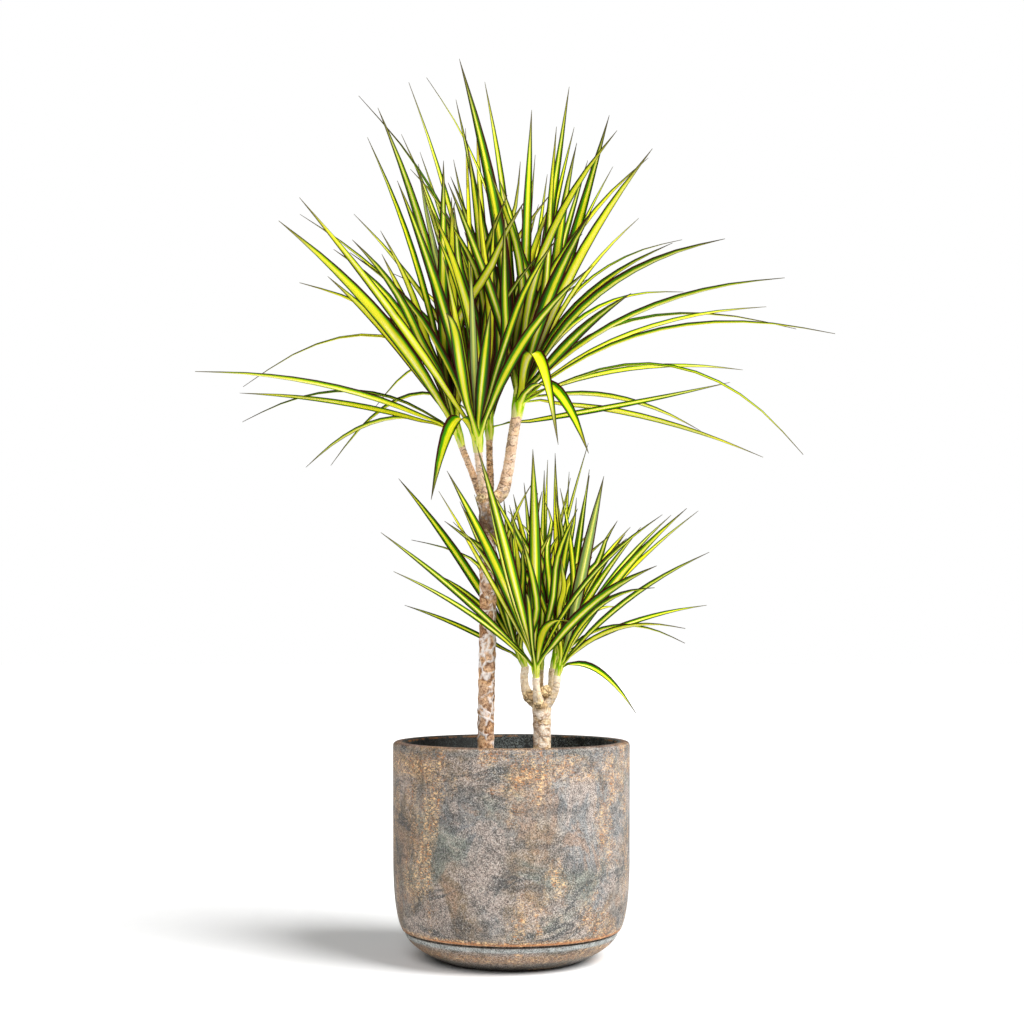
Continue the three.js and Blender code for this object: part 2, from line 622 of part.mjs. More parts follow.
/** Makes one leaf: a long blade with a keel under its midrib, ending in a point. */
function makeBlade(leaf) {
  const positions = [];
  const last = leaf.points.length - 1;
  for (let i = 0; i < last; i++) {
    const half = 0.5 * leaf.width * LEAF_OUTLINE[i];
    const centre = leaf.points[i];
    const left = centre.clone().addScaledVector(leaf.edges[i], -half);
    const right = centre.clone().addScaledVector(leaf.edges[i], half);
    const keel = centre.clone().addScaledVector(leaf.faces[i], -keelDepth(LEAF_STATIONS[i]));
    positions.push(...left.toArray(), ...right.toArray(), ...keel.toArray());
  }
  positions.push(...leaf.points[last].toArray());
  const faces = [0, 2, 1];
  for (let i = 0; i < last - 1; i++) {
    for (let side = 0; side < 3; side++) {
      const a = 3 * i + side;
      const b = 3 * i + ((side + 1) % 3);
      faces.push(a, b, b + 3, a, b + 3, a + 3);
    }
  }
  const end = 3 * (last - 1);
  for (let side = 0; side < 3; side++) {
    faces.push(end + side, end + ((side + 1) % 3), 3 * last);
  }
  const geometry = new THREE.BufferGeometry();
  geometry.setAttribute("position", new THREE.Float32BufferAttribute(positions, 3));
  geometry.setIndex(faces);
  return toSolid(geometry);
}

/** Makes a head's shoot: a slim bud of clasping leaf bases on the end of its branch. */
function makeShoot(head) {
  const axis = shootAxis(head);
  const across = new THREE.Vector3(1, 0, 0).addScaledVector(axis, -axis.x).normalize();
  const other = axis.clone().cross(across);
  const shape = [[0, 0.72], [0.25, 1], [0.6, 0.85], [1, 0.3]];
  const rings = shape.map(([share, size]) => Array.from({ length: 8 }, (_, side) => {
    const angle = (2 * Math.PI * side) / 8;
    return new THREE.Vector3(...head.foot)
      .addScaledVector(axis, share * head.height)
      .addScaledVector(across, size * head.radius * Math.cos(angle))
      .addScaledVector(other, size * head.radius * Math.sin(angle));
  }));
  return toSolid(skinRings(rings));
}

/** Wraps a solid in a named mesh with its own material. */
function nameMesh(name, solid, color, roughness, metalness = 0) {
  const material = new THREE.MeshStandardMaterial({ color, roughness, metalness });
  const mesh = new THREE.Mesh(toGeometry(solid), material);
  mesh.name = name;
  return mesh;
}

/** Wraps a turned solid, whose axis is Y, and stands it up. */
function nameTurned(name, solid, color, roughness, metalness = 0) {
  const mesh = nameMesh(name, solid, color, roughness, metalness);
  mesh.rotation.x = Math.PI / 2;
  return mesh;
}

/** Cuts a plain hole for each cane into the soil, while the soil's axis is still Y. */
function cutPlantingHoles(soil) {
  return CANES.reduce((rest, cane) => {
    const [x, y, low, radius] = cane.trunk[0];
    const depth = SOIL_TOP + 20 - (low - GAP);
    const hole = new THREE.CylinderGeometry(radius + 3 * GAP, radius + 3 * GAP, depth, 24);
    hole.translate(x, low - GAP + depth / 2, -y);
    return rest.subtract(toSolid(hole));
  }, soil);
}

/** Builds the whole plant in its pot. */
function buildPottedDracaena() {
  const group = new THREE.Group();
  group.name = "potted_dracaena";
  group.add(nameTurned("pot", makePot(), 0x75766f, 0.5, 0.35));
  group.add(nameTurned("soil", largestBody(cutPlantingHoles(makeSoil())), 0x2b1f17, 0.95));
  for (const cane of CANES) {
    group.add(nameMesh(cane.name, makeCane(cane), cane.color, 0.85));
  }
  const leaves = HEADS.flatMap(plotHead);
  bendClear(leaves);
  for (const head of HEADS) {
    const own = leaves.filter((leaf) => leaf.head === head);
    const solid = wasm.Manifold.union([makeShoot(head), ...own.map(makeBlade)]);
    group.add(nameMesh(head.name, largestBody(solid), 0x5f8a1e, 0.45));
  }
  return group;
}

export default buildPottedDracaena();
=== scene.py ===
"""A two-cane variegated dracaena in a round weathered pot, dressed for the studio.

Sizes and places are in millimetres, and MM turns them into Blender's metres. The frame is that
of the solids: the origin is on the floor under the pot, +Z is up and -Y faces the viewer.
"""
import logging
import math
from collections.abc import Iterator, Sequence
from dataclasses import dataclass, field
from enum import Enum

import bmesh
import bpy
import numpy as np
from mathutils import Matrix, Vector, noise


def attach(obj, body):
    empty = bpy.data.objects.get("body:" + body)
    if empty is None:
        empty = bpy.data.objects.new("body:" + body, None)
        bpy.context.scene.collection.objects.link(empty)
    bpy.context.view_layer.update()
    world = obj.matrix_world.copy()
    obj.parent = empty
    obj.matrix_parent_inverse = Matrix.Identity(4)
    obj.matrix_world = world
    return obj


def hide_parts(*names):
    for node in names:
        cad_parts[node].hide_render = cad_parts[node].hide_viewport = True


Piece = bpy.types.Object
Material = bpy.types.Material
Array = np.ndarray
Pair = tuple[float, float]

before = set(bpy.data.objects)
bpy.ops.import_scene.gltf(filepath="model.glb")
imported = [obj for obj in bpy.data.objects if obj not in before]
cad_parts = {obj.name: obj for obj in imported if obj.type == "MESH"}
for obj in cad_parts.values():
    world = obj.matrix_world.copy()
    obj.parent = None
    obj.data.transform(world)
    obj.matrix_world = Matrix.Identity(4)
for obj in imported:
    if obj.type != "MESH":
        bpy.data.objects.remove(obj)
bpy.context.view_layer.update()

LOG = logging.getLogger("dracaena")
MM = 0.001
BODY = "root"
GOLDEN_ANGLE = math.radians(137.5)
UP = np.array((0.0, 0.0, 1.0))
TOWARDS_VIEWER = np.array((0.0, -1.0, 0.0))


class Slot(Enum):
    """The record's material slots."""

    POT = "pot"
    SOIL = "soil"
    BARK_TALL = "bark_tall"
    BARK_SHORT = "bark_short"
    LEAF = "leaf"


class Bark(Enum):
    """The two kinds of bark: a net of wide scars, and pale wood with brown rings."""

    NETTED = "netted"
    RINGED = "ringed"


# Shaders


def rgb(code: str) -> tuple[float, float, float, float]:
    """Turns a colour code into Blender's linear colour.

    Args:
        code: Six hexadecimal digits, as in "8a7f70".

    Returns:
        Red, green, blue and an alpha of 1.
    """
    shares = [int(code[i:i + 2], 16) / 255 for i in (0, 2, 4)]
    linear = [s / 12.92 if s <= 0.04045 else ((s + 0.055) / 1.055) ** 2.4 for s in shares]
    return (linear[0], linear[1], linear[2], 1.0)


class Sock:
    """One output socket, on which Python's operators add Math nodes."""

    def __init__(self, shader: "Shader", socket: bpy.types.NodeSocket) -> None:
        """Keeps the socket and the shader that it belongs to."""
        self.shader = shader
        self.socket = socket

    def __add__(self, other: "Sock | float") -> "Sock":
        """Adds."""
        return self.shader.math("ADD", self, other)

    __radd__ = __add__

    def __sub__(self, other: "Sock | float") -> "Sock":
        """Subtracts."""
        return self.shader.math("SUBTRACT", self, other)

    def __rsub__(self, other: float) -> "Sock":
        """Subtracts from a number."""
        return self.shader.math("SUBTRACT", other, self)

    def __mul__(self, other: "Sock | float") -> "Sock":
        """Multiplies."""
        return self.shader.math("MULTIPLY", self, other)

    __rmul__ = __mul__

    def __abs__(self) -> "Sock":
        """Takes the size without its sign."""
        return self.shader.math("ABSOLUTE", self)

    def most(self, other: "Sock | float") -> "Sock":
        """Takes the greater of two values."""
        return self.shader.math("MAXIMUM", self, other)

    def rise(self, low: float, high: float) -> "Sock":
        """Rises smoothly from 0 at one value to 1 at another.

        Args:
            low: The value that gives 0.
            high: The value that gives 1.

        Returns:
            The smooth step.
        """
        settings = {"interpolation_type": "SMOOTHSTEP"}
        return self.shader.node("ShaderNodeMapRange", settings, {0: self, 1: low, 2: high})

    def hump(self, low: float, high: float, soft: float) -> "Sock":
        """Is 1 between two values and falls smoothly to 0 on both sides.

        Args:
            low: Where the hump begins.
            high: Where it ends.
            soft: How far it takes to rise or fall.

        Returns:
            The hump.
        """
        return self.rise(low - soft, low + soft) * (1 - self.rise(high - soft, high + soft))


class Shader:
    """Adds the nodes of one material or world."""

    def __init__(self, owner: Material | bpy.types.World) -> None:
        """Clears the owner's nodes.

        Args:
            owner: The material or world that gets the nodes.
        """
        self.owner = owner
        owner.use_nodes = True
        self.tree = owner.node_tree
        self.tree.nodes.clear()

    @classmethod
    def new(cls, name: str) -> "Shader":
        """Starts an empty material of a name."""
        return cls(bpy.data.materials.new(name))

    def node(self, kind: str, settings: dict | None = None, inputs: dict | None = None,
             output: int | str = 0) -> Sock:
        """Adds a node.

        Args:
            kind: The node's type.
            settings: Its properties; "stops" holds a ramp's (place, colour) pairs.
            inputs: Values or links, by the name or number of the input.
            output: The name or number of the output to return.

        Returns:
            The output.
        """
        added = self.tree.nodes.new(kind)
        for name, value in (settings or {}).items():
            if name == "stops":
                self.set_stops(added.color_ramp, value)
            else:
                setattr(added, name, value)
        for name, value in (inputs or {}).items():
            if isinstance(value, Sock):
                self.tree.links.new(value.socket, added.inputs[name])
            else:
                added.inputs[name].default_value = value
        return Sock(self, added.outputs[output])

    @staticmethod
    def set_stops(ramp: bpy.types.ColorRamp, stops: Sequence[tuple[float, str]]) -> None:
        """Gives a ramp its stops.

        Args:
            ramp: The ramp of a new node, which has two stops.
            stops: The place and the colour code of each stop, in order.
        """
        while len(ramp.elements) < len(stops):
            ramp.elements.new(1.0)
        for element, (place, code) in zip(ramp.elements, stops):
            element.position = place
            element.color = rgb(code)

    def math(self, operation: str, *operands: Sock | float) -> Sock:
        """Adds a Math node on its operands."""
        return self.node("ShaderNodeMath", {"operation": operation}, dict(enumerate(operands)))

    def ramp(self, value: Sock, stops: Sequence[tuple[float, str]]) -> Sock:
        """Reads a colour ramp at a value."""
        return self.node("ShaderNodeValToRGB", {"stops": stops}, {0: value})

    def mix(self, share: Sock | float, first: Sock | str, second: Sock | str) -> Sock:
        """Mixes two colours.

        Args:
            share: How much of the second colour shows.
            first: A colour, or its code.
            second: A colour, or its code.

        Returns:
            The mixed colour.
        """
        pair = [rgb(c) if isinstance(c, str) else c for c in (first, second)]
        return self.node("ShaderNodeMix", {"data_type": "RGBA"}, {0: share, 6: pair[0], 7: pair[1]}, 2)

    def place(self) -> Sock:
        """Reads the place on the object, in metres."""
        return self.node("ShaderNodeTexCoord", output="Object")

    def chart(self, name: str) -> Sock:
        """Reads one of the piece's own UV maps."""
        return self.node("ShaderNodeUVMap", {"uv_map": name})

    def split(self, vector: Sock) -> tuple[Sock, Sock, Sock]:
        """Splits a vector into its three numbers.

        Args:
            vector: The vector.

        Returns:
            Its x, y and z.
        """
        parts = self.tree.nodes.new("ShaderNodeSeparateXYZ")
        self.tree.links.new(vector.socket, parts.inputs[0])
        x, y, z = (Sock(self, output) for output in parts.outputs)
        return x, y, z

    def join(self, x: Sock | float, y: Sock | float, z: Sock | float) -> Sock:
        """Joins three numbers into a vector."""
        return self.node("ShaderNodeCombineXYZ", inputs={0: x, 1: y, 2: z})

    def turned(self, vector: Sock, angles: Sequence[float], scale: Sequence[float]) -> Sock:
        """Turns and stretches a pattern's place.

        Args:
            vector: The place to read from.
            angles: The turn about each axis, in degrees.
            scale: The stretch along each axis.

        Returns:
            The new place.
        """
        turn = tuple(math.radians(a) for a in angles)
        inputs = {"Vector": vector, "Rotation": turn, "Scale": tuple(scale)}
        return self.node("ShaderNodeMapping", inputs=inputs)

    def cloud(self, vector: Sock, scale: float, detail: float = 3.0, rough: float = 0.55,
              twist: float = 0.0) -> Sock:
        """Reads a noise.

        Args:
            vector: The place to read it at.
            scale: How many features fit in one unit.
            detail: How many finer layers it has.
            rough: How strong the finer layers are.
            twist: How much the noise distorts itself.

        Returns:
            A value around 0.5.
        """
        inputs = {"Vector": vector, "Scale": scale, "Detail": detail, "Roughness": rough,
                  "Distortion": twist}
        return self.node("ShaderNodeTexNoise", inputs=inputs)

    def warped(self, vector: Sock, scale: float, amount: float) -> Sock:
        """Shifts a place by a noise, so that the lines of a pattern waver.

        Args:
            vector: The place to shift.
            scale: How many features of the noise fit in one unit.
            amount: The most that it shifts, in millimetres.

        Returns:
            The shifted place.
        """
        inputs = {"Vector": vector, "Scale": scale, "Detail": 2.0}
        shift = self.node("ShaderNodeTexNoise", inputs=inputs, output="Color")
        size = (2 * amount * MM,) * 3
        start = self.node("ShaderNodeVectorMath", {"operation": "SUBTRACT"},
                          {0: vector, 1: (amount * MM,) * 3})
        return self.node("ShaderNodeVectorMath", {"operation": "MULTIPLY_ADD"},
                         {0: shift, 1: size, 2: start})

    def cells(self, vector: Sock, scale: float) -> tuple[Sock, Sock]:
        """Reads a pattern of cells.

        Args:
            vector: The place to read it at.
            scale: How many cells fit in one unit.

        Returns:
            The distance to the nearest edge, in cells, and each cell's own number, 0 to 1.
        """
        inputs = {"Vector": vector, "Scale": scale}
        edge = self.node("ShaderNodeTexVoronoi", {"feature": "DISTANCE_TO_EDGE"}, inputs, "Distance")
        own = self.node("ShaderNodeTexVoronoi", {"feature": "F1"}, inputs, "Color")
        return edge, self.split(own)[0]

    def bump(self, height: Sock, strength: float, depth: float) -> Sock:
        """Turns a height into a shaded relief.

        Args:
            height: The height, from 0 to 1.
            strength: How strongly it shows.
            depth: The relief's real depth, in millimetres.

        Returns:
            The normal.
        """
        inputs = {"Height": height, "Strength": strength, "Distance": depth * MM}
        return self.node("ShaderNodeBump", inputs=inputs)

    def finish(self, inputs: dict) -> Material:
        """Ends the material with a Principled surface.

        Args:
            inputs: The surface's values and links, by name.

        Returns:
            The material.
        """
        surface = self.node("ShaderNodeBsdfPrincipled", inputs=inputs)
        output = self.tree.nodes.new("ShaderNodeOutputMaterial")
        self.tree.links.new(surface.socket, output.inputs["Surface"])
        return self.owner


@dataclass(frozen=True)
class WeatheredPotFinish:
    """Mottled grey-taupe stoneware with verdigris clouds, dark veins and copper flecks.

    The bands lie between two heights above the floor, in millimetres.
    """

    taupe: str = "b2a196"
    warm: str = "8f7a60"
    cool: str = "8a8d8e"
    haze: str = "ae8c72"
    verdigris: str = "868c80"
    vein: str = "3f4447"
    light: str = "c3b6a8"
    umber: str = "4a443d"
    soot: str = "24211f"
    chalk: str = "e4dcd2"
    pepper: str = "302b27"
    glow: str = "ab8459"
    copper: str = "bb7c48"
    gold: str = "f0cc98"
    rust: str = "b8743c"
    foot_shade: str = "35312c"
    foot_brown: str = "85603f"
    ledge_highlight: str = "b0b6b4"
    groove_shadow: str = "1c1a17"
    edge_brown: str = "6a4229"
    slate_rim_shade: str = "596266"
    lining: str = "191a19"
    lining_worn_and_lit: str = "747b79"
    lining_copper: str = "93602f"
    foot_band: Pair = (11.0, 21.0)
    ledge_band: Pair = (23.5, 28.4)
    groove_band: Pair = (28.6, 30.2)
    edge_band: Pair = (30.2, 33.4)
    rust_band: Pair = (30.6, 32.4)
    rim_shade_band: Pair = (207.5, 212.0)
    lip_band: Pair = (214.2, 215.5)
    copper_foot: Pair = (11.0, 19.0)
    copper_edge: Pair = (30.5, 35.0)
    copper_rim: Pair = (186.0, 207.0)
    copper_free: Pair = (22.5, 29.8)
    copper_lining: Pair = (213.4, 215.2)
    floor_band: Pair = (17.0, 19.5)
    lining_radius: float = 94.5
    lining_slope: float = 0.0587

    def material(self) -> Material:
        """Builds the material.

        Returns:
            The pot's material, patterned by the place on the pot.
        """
        sh = Shader.new("weathered_pot")
        place = sh.place()
        x, y, z = sh.split(place)
        height = z * (1 / MM)
        radius = sh.math("SQRT", x * x + y * y) * (1 / MM)
        drift = sh.cloud(place, 8.0, 4.0, 0.6, 0.5)
        patch = sh.cloud(sh.turned(place, (0, 25, 40), (1, 1, 0.8)), 20.0, 6.0, 0.7, 0.8)
        clouds = sh.cloud(sh.turned(place, (10, -30, 5), (1, 1, 1.3)), 14.0, 5.0, 0.6, 0.6)
        mottle = sh.cloud(place, 62.0, 5.0, 0.75, 0.4)
        fine = sh.cloud(place, 190.0, 4.0, 0.7)
        grit = sh.cloud(place, 730.0, 2.0, 0.8)
        grain = sh.cloud(place, 1250.0, 2.0, 0.7)
        # Besides the random drift, the tone turns browner and darker towards the left (painted shade) and
        # cooler and paler towards the right (painted light).
        warmth_and_side_light = drift - x * 1.1
        body = sh.mix(warmth_and_side_light.rise(0.40, 0.60), self.cool, self.warm)
        body = sh.mix(patch.rise(0.46, 0.56) * 0.85, body, self.taupe)
        body = sh.mix(patch.rise(0.47, 0.36) * 0.7, body, self.haze)
        body = sh.mix(clouds.rise(0.50, 0.64) * 0.85, body, self.verdigris)
        body = sh.mix(mottle.rise(0.52, 0.36) * 0.60, body, self.vein)
        body = sh.mix(mottle.rise(0.52, 0.70) * 0.60, body, self.light)
        body = sh.mix(self.veins(sh, place), body, self.vein)
        body = self.bands(sh, body, height, patch)
        near = self.clusters(sh, place, height)
        body = sh.mix(near * 0.28, body, self.glow)
        body = sh.mix(fine.rise(0.54, 0.36) * 0.45, body, self.umber)
        body = sh.mix(grit.rise(0.49, 0.37) * 0.78, body, self.soot)
        body = sh.mix(grit.rise(0.52, 0.65) * (0.25 + patch.rise(0.44, 0.56) * 0.25), body, self.chalk)
        body = sh.mix(grain.rise(0.52, 0.38) * 0.55, body, self.pepper)
        flecks = self.flecks(sh, place, near)
        body = sh.mix(flecks * 0.92, body, sh.mix(fine.rise(0.42, 0.56), self.copper, self.gold))
        seam = height.hump(*self.rust_band, 0.8) * drift.rise(0.42, 0.52)
        body = sh.mix(seam * 0.65, body, self.rust)
        beyond = radius - (height * self.lining_slope + self.lining_radius)
        inner = (1 - beyond.rise(2.5, 5.0)) * height.rise(*self.floor_band)
        # Grey specks of wear on the dark lining, thickening towards the right-hand side as painted light.
        worn_and_lit = grit.rise(0.44, 0.62) * (0.30 + x.rise(-0.045, 0.01) * 0.70)
        dark = sh.mix(worn_and_lit * mottle.rise(0.36, 0.54), self.lining, self.lining_worn_and_lit)
        glint = height.hump(*self.copper_lining, 0.5) * mottle.rise(0.44, 0.58)
        dark = sh.mix(glint * 0.7, dark, self.lining_copper)
        relief = grain * 0.3 + grit * 0.5 + fine * 0.8 + mottle * 0.8
        return sh.finish({
            "Base Color": sh.mix(inner, body, dark), "Metallic": flecks * (1 - inner) * 0.25,
            "Roughness": 0.66 + (fine - 0.5) * 0.35 - flecks * 0.22,
            "Normal": sh.bump(relief, 0.55, 0.9), "Specular IOR Level": 0.45,
        })

    @staticmethod
    def veins(sh: Shader, place: Sock) -> Sock:
        """Finds where the dark, cloudy veins run, slanting up to the right.

        Args:
            sh: The shader.
            place: The place on the pot.

        Returns:
            How much of them shows, from 0 to 1.
        """
        slanted = sh.turned(place, (0, 36, 0), (0.55, 1, 1.9))
        line = abs(sh.cloud(slanted, 8.0, 5.0, 0.6, 1.3) - 0.5)
        shown = sh.cloud(place, 9.0, 2.0).rise(0.42, 0.54)
        broad = sh.cloud(slanted, 12.0, 5.0, 0.65, 0.9).rise(0.54, 0.68) * 0.62
        return ((1 - line.rise(0.0, 0.035)) * shown * 0.85).most(broad)

    def clusters(self, sh: Shader, place: Sock, height: Sock) -> Sock:
        """Finds where copper shows through: in loose, upright clusters and along the edges.

        Args:
            sh: The shader.
            place: The place on the pot.
            height: The height on the pot.

        Returns:
            How much of it shows, from 0 to 1.
        """
        upright = sh.turned(place, (0, 0, 0), (1, 1, 0.45))
        cluster = sh.cloud(upright, 17.0, 5.0, 0.7, 0.4).rise(0.51, 0.66)
        edge = height.hump(*self.copper_edge, 1.6) * 0.9
        rim = height.hump(*self.copper_rim, 8.0) * sh.cloud(place, 14.0, 2.0).rise(0.40, 0.54)
        foot = height.hump(*self.copper_foot, 3.0) * 0.6
        return cluster.most(edge.most(rim)).most(foot) * (1 - height.hump(*self.copper_free, 1.0))

    @staticmethod
    def flecks(sh: Shader, place: Sock, near: Sock) -> Sock:
        """Finds where the flecks of a cluster lie: fine grains and short, level strokes.

        Args:
            sh: The shader.
            place: The place on the pot.
            near: Where the clusters are.

        Returns:
            How much of them shows, from 0 to 1.
        """
        grains = sh.cloud(place, 900.0, 2.0, 0.7).rise(0.55, 0.62)
        strokes = sh.cloud(sh.turned(place, (0, 0, 0), (0.4, 0.4, 1)), 680.0, 2.0, 0.6).rise(0.55, 0.61)
        return near * (grains * 0.8).most(strokes)

    def bands(self, sh: Shader, body: Sock, height: Sock, patch: Sock) -> Sock:
        """Adds the bands of the groove, the foot and the rim, some of which paint light and shade.

        Args:
            sh: The shader.
            body: The colour so far.
            height: The height on the pot.
            patch: A noise that breaks the bands' edges.

        Returns:
            The colour with its bands.
        """
        wavy = height + (patch - 0.5) * 5.0
        body = sh.mix(wavy.hump(*self.edge_band, 1.6) * 0.8, body, self.edge_brown)
        body = sh.mix(wavy.hump(*self.foot_band, 3.0) * 0.55, body, self.foot_brown)
        # Painted highlight: a pale band on the upward-facing ledge under the groove.
        body = sh.mix(height.hump(*self.ledge_band, 1.2) * 0.9, body, self.ledge_highlight)
        # Painted shade: darker towards the bottom of the foot, near the floor.
        body = sh.mix((1 - wavy.rise(3.0, 15.0)) * 0.85, body, self.foot_shade)
        # Painted shadow: near-black in the groove.
        body = sh.mix(height.hump(*self.groove_band, 0.3), body, self.groove_shadow)
        # Painted shade: a slate band just under the rim's lip.
        body = sh.mix(wavy.hump(*self.rim_shade_band, 1.8) * 0.5, body, self.slate_rim_shade)
        return sh.mix(height.rise(*self.lip_band) * 0.8, body, self.edge_brown)


@dataclass(frozen=True)
class SoilFinish:
    """Dark, crumbly potting soil with paler bits of bark."""

    damp: str = "1d1612"
    dry: str = "453629"
    chip: str = "6d563c"

    def material(self) -> Material:
        """Builds the material.

        Returns:
            The soil's material, patterned by the place in the pot.
        """
        sh = Shader.new("potting_soil")
        place = sh.place()
        clod = sh.cloud(place, 60.0, 6.0, 0.7)
        crumb = sh.cloud(place, 420.0, 4.0, 0.7)
        body = sh.mix(clod.rise(0.38, 0.62), self.damp, self.dry)
        body = sh.mix(crumb.rise(0.60, 0.70) * 0.7, body, self.chip)
        return sh.finish({
            "Base Color": body, "Roughness": 0.86 + (crumb - 0.5) * 0.2,
            "Normal": sh.bump(crumb + clod, 0.8, 1.2), "Specular IOR Level": 0.3,
        })


@dataclass(frozen=True)
class BarkFinish:
    """The bark of a cane: pale scar edges over tan wood with brown patches.

    The fork and the stretch of painted shade under the crown lie at heights above the floor, in millimetres.
    """

    kind: Bark
    wood: str
    scar: str
    patch: str
    pit: str
    speck: str
    ridge: str
    pale_cells: float
    seams: float
    fork: float
    flat: float = 0.9
    knob: str = "e8be88"
    knob_pale: str = "f4deb0"
    knob_speck: str = "6b4424"
    cleft: str = "4a2a10"
    crown_shade: str = "3d2818"
    crown_shade_stretch: Pair = (405.0, 462.0)
    net_scale: float = 84.0
    ring_scale: float = 95.0

    def material(self) -> Material:
        """Builds the material.

        Returns:
            The bark, patterned by the place on the cane and by the maps "limb" (paleness, partly
            painted light, and brownness, partly painted shade) and "scars" (how far the net gives way to
            rings).
        """
        sh = Shader.new("bark_" + self.kind.value)
        place = sh.place()
        pale, brown, _ = sh.split(sh.chart("limb"))
        ringed, _, _ = sh.split(sh.chart("scars"))
        netted = 1 - ringed
        lump = brown.rise(0.80, 0.90)
        height = sh.split(place)[2] * (1 / MM)
        blotch = sh.cloud(place, 105.0, 5.0, 0.7)
        jitter = sh.cloud(place, 150.0, 3.0, 0.6)
        speck = sh.cloud(place, 430.0, 3.0, 0.75)
        stain = sh.cloud(place, 38.0, 4.0, 0.65, 0.5)
        fibre = sh.cloud(sh.turned(place, (0, 0, 0), (1, 1, 0.35)), 520.0, 3.0, 0.7)
        edge, tone = sh.cells(sh.turned(sh.warped(place, 70.0, 5.0), (0, 14, 0), (1, 1, self.flat)),
                              self.net_scale)
        seam, shade = sh.cells(sh.turned(sh.warped(place, 120.0, 3.0), (0, 8, 0), (1, 1, 2.5)),
                               self.ring_scale)
        body = sh.mix(blotch.rise(0.44, 0.62) * (0.75 - ringed * 0.40), self.wood, self.patch)
        body = sh.mix(tone.rise(0.30, 0.60) * netted * self.pale_cells, body, self.scar)
        body = sh.mix((shade * 0.45 + pale * 0.45) * ringed, body, self.scar)
        body = sh.mix(brown * (1 - lump) * (0.45 + 0.4 * blotch.rise(0.4, 0.6)), body, self.knob)
        body = sh.mix(speck.rise(0.54, 0.36) * (1 - pale * ringed * 0.8) * 0.75, body, self.speck)
        body = sh.mix(speck.rise(0.56, 0.70) * 0.45, body, self.scar)
        rough = edge + (speck - 0.5) * 0.20 + (jitter - 0.5) * 0.14
        # A dark brown line along each cell's edge, beside the pale ridges: painted shadow of the ridges.
        rim = rough.hump(0.12, 0.20, 0.05) * netted * blotch.rise(0.44, 0.58)
        body = sh.mix(rim * 0.7, body, self.pit)
        shown = sh.cloud(place, 62.0, 3.0, 0.6, 0.4).rise(0.40, 0.50)
        ridge = (1 - rough.rise(0.01, 0.14)) * netted * shown
        body = sh.mix(ridge * 0.92, body, self.ridge)
        fold = (1 - (seam + (speck - 0.5) * 0.2).rise(0.02, 0.13)) * ringed * jitter.rise(0.42, 0.58)
        body = sh.mix(fold * (self.seams + (1 - self.seams) * brown), body, self.pit)
        knot, crack = self.knot(sh, place, ringed, jitter, speck)
        gnarl = height.hump(self.fork - 9, self.fork + 12, 5)
        body = sh.mix(lump.most(gnarl * jitter.rise(0.56, 0.44) * 0.75), body, knot)
        # Painted shade of the crown on the trunk below the fork, blotched by a noise.
        crown_shaded = height.hump(*self.crown_shade_stretch, 22) * netted
        body = sh.mix(crown_shaded * (0.35 + 0.50 * stain.rise(0.56, 0.44)), body, self.crown_shade)
        marks = jitter.rise(0.57, 0.65) * stain.rise(0.44, 0.54) * (1 - ringed * 0.6)
        body = sh.mix(marks * 0.8, body, self.pit)
        body = sh.mix(fibre.rise(0.54, 0.36) * (0.3 - pale * ringed * 0.2), body, self.pit)
        relief = fibre * 0.4 + blotch * 0.5 + ridge * 0.7 - rim * 0.4 - fold * 0.6
        relief = relief - lump.most(gnarl * 0.7) * (1 - crack)
        return sh.finish({
            "Base Color": body, "Roughness": 0.78 + (fibre - 0.5) * 0.3,
            "Normal": sh.bump(relief, 0.7, 1.0), "Specular IOR Level": 0.2,
        })

    def knot(self, sh: Shader, place: Sock, ringed: Sock, jitter: Sock,
             speck: Sock) -> tuple[Sock, Sock]:
        """Colours the gnarled wood of the fork.

        Args:
            sh: The shader.
            place: The place on the cane.
            ringed: How far the net gives way to rings.
            jitter: A noise that breaks the clefts.
            speck: A noise of fine, dark specks.

        Returns:
            The colour, and the distance to the nearest cleft, in cells.
        """
        crack, chunk = sh.cells(sh.warped(place, 180.0, 3.0), 210.0)
        body = sh.mix(chunk.rise(0.2, 0.9) * 0.8, self.knob, self.knob_pale)
        clefts = (1 - crack.rise(0.03, 0.20)) * jitter.rise(0.36, 0.52)
        body = sh.mix(clefts * (0.95 - ringed * 0.30), body, self.cleft)
        specks = speck.rise(0.50, 0.36) * (0.4 - ringed * 0.25)
        return sh.mix(specks, body, self.knob_speck), crack


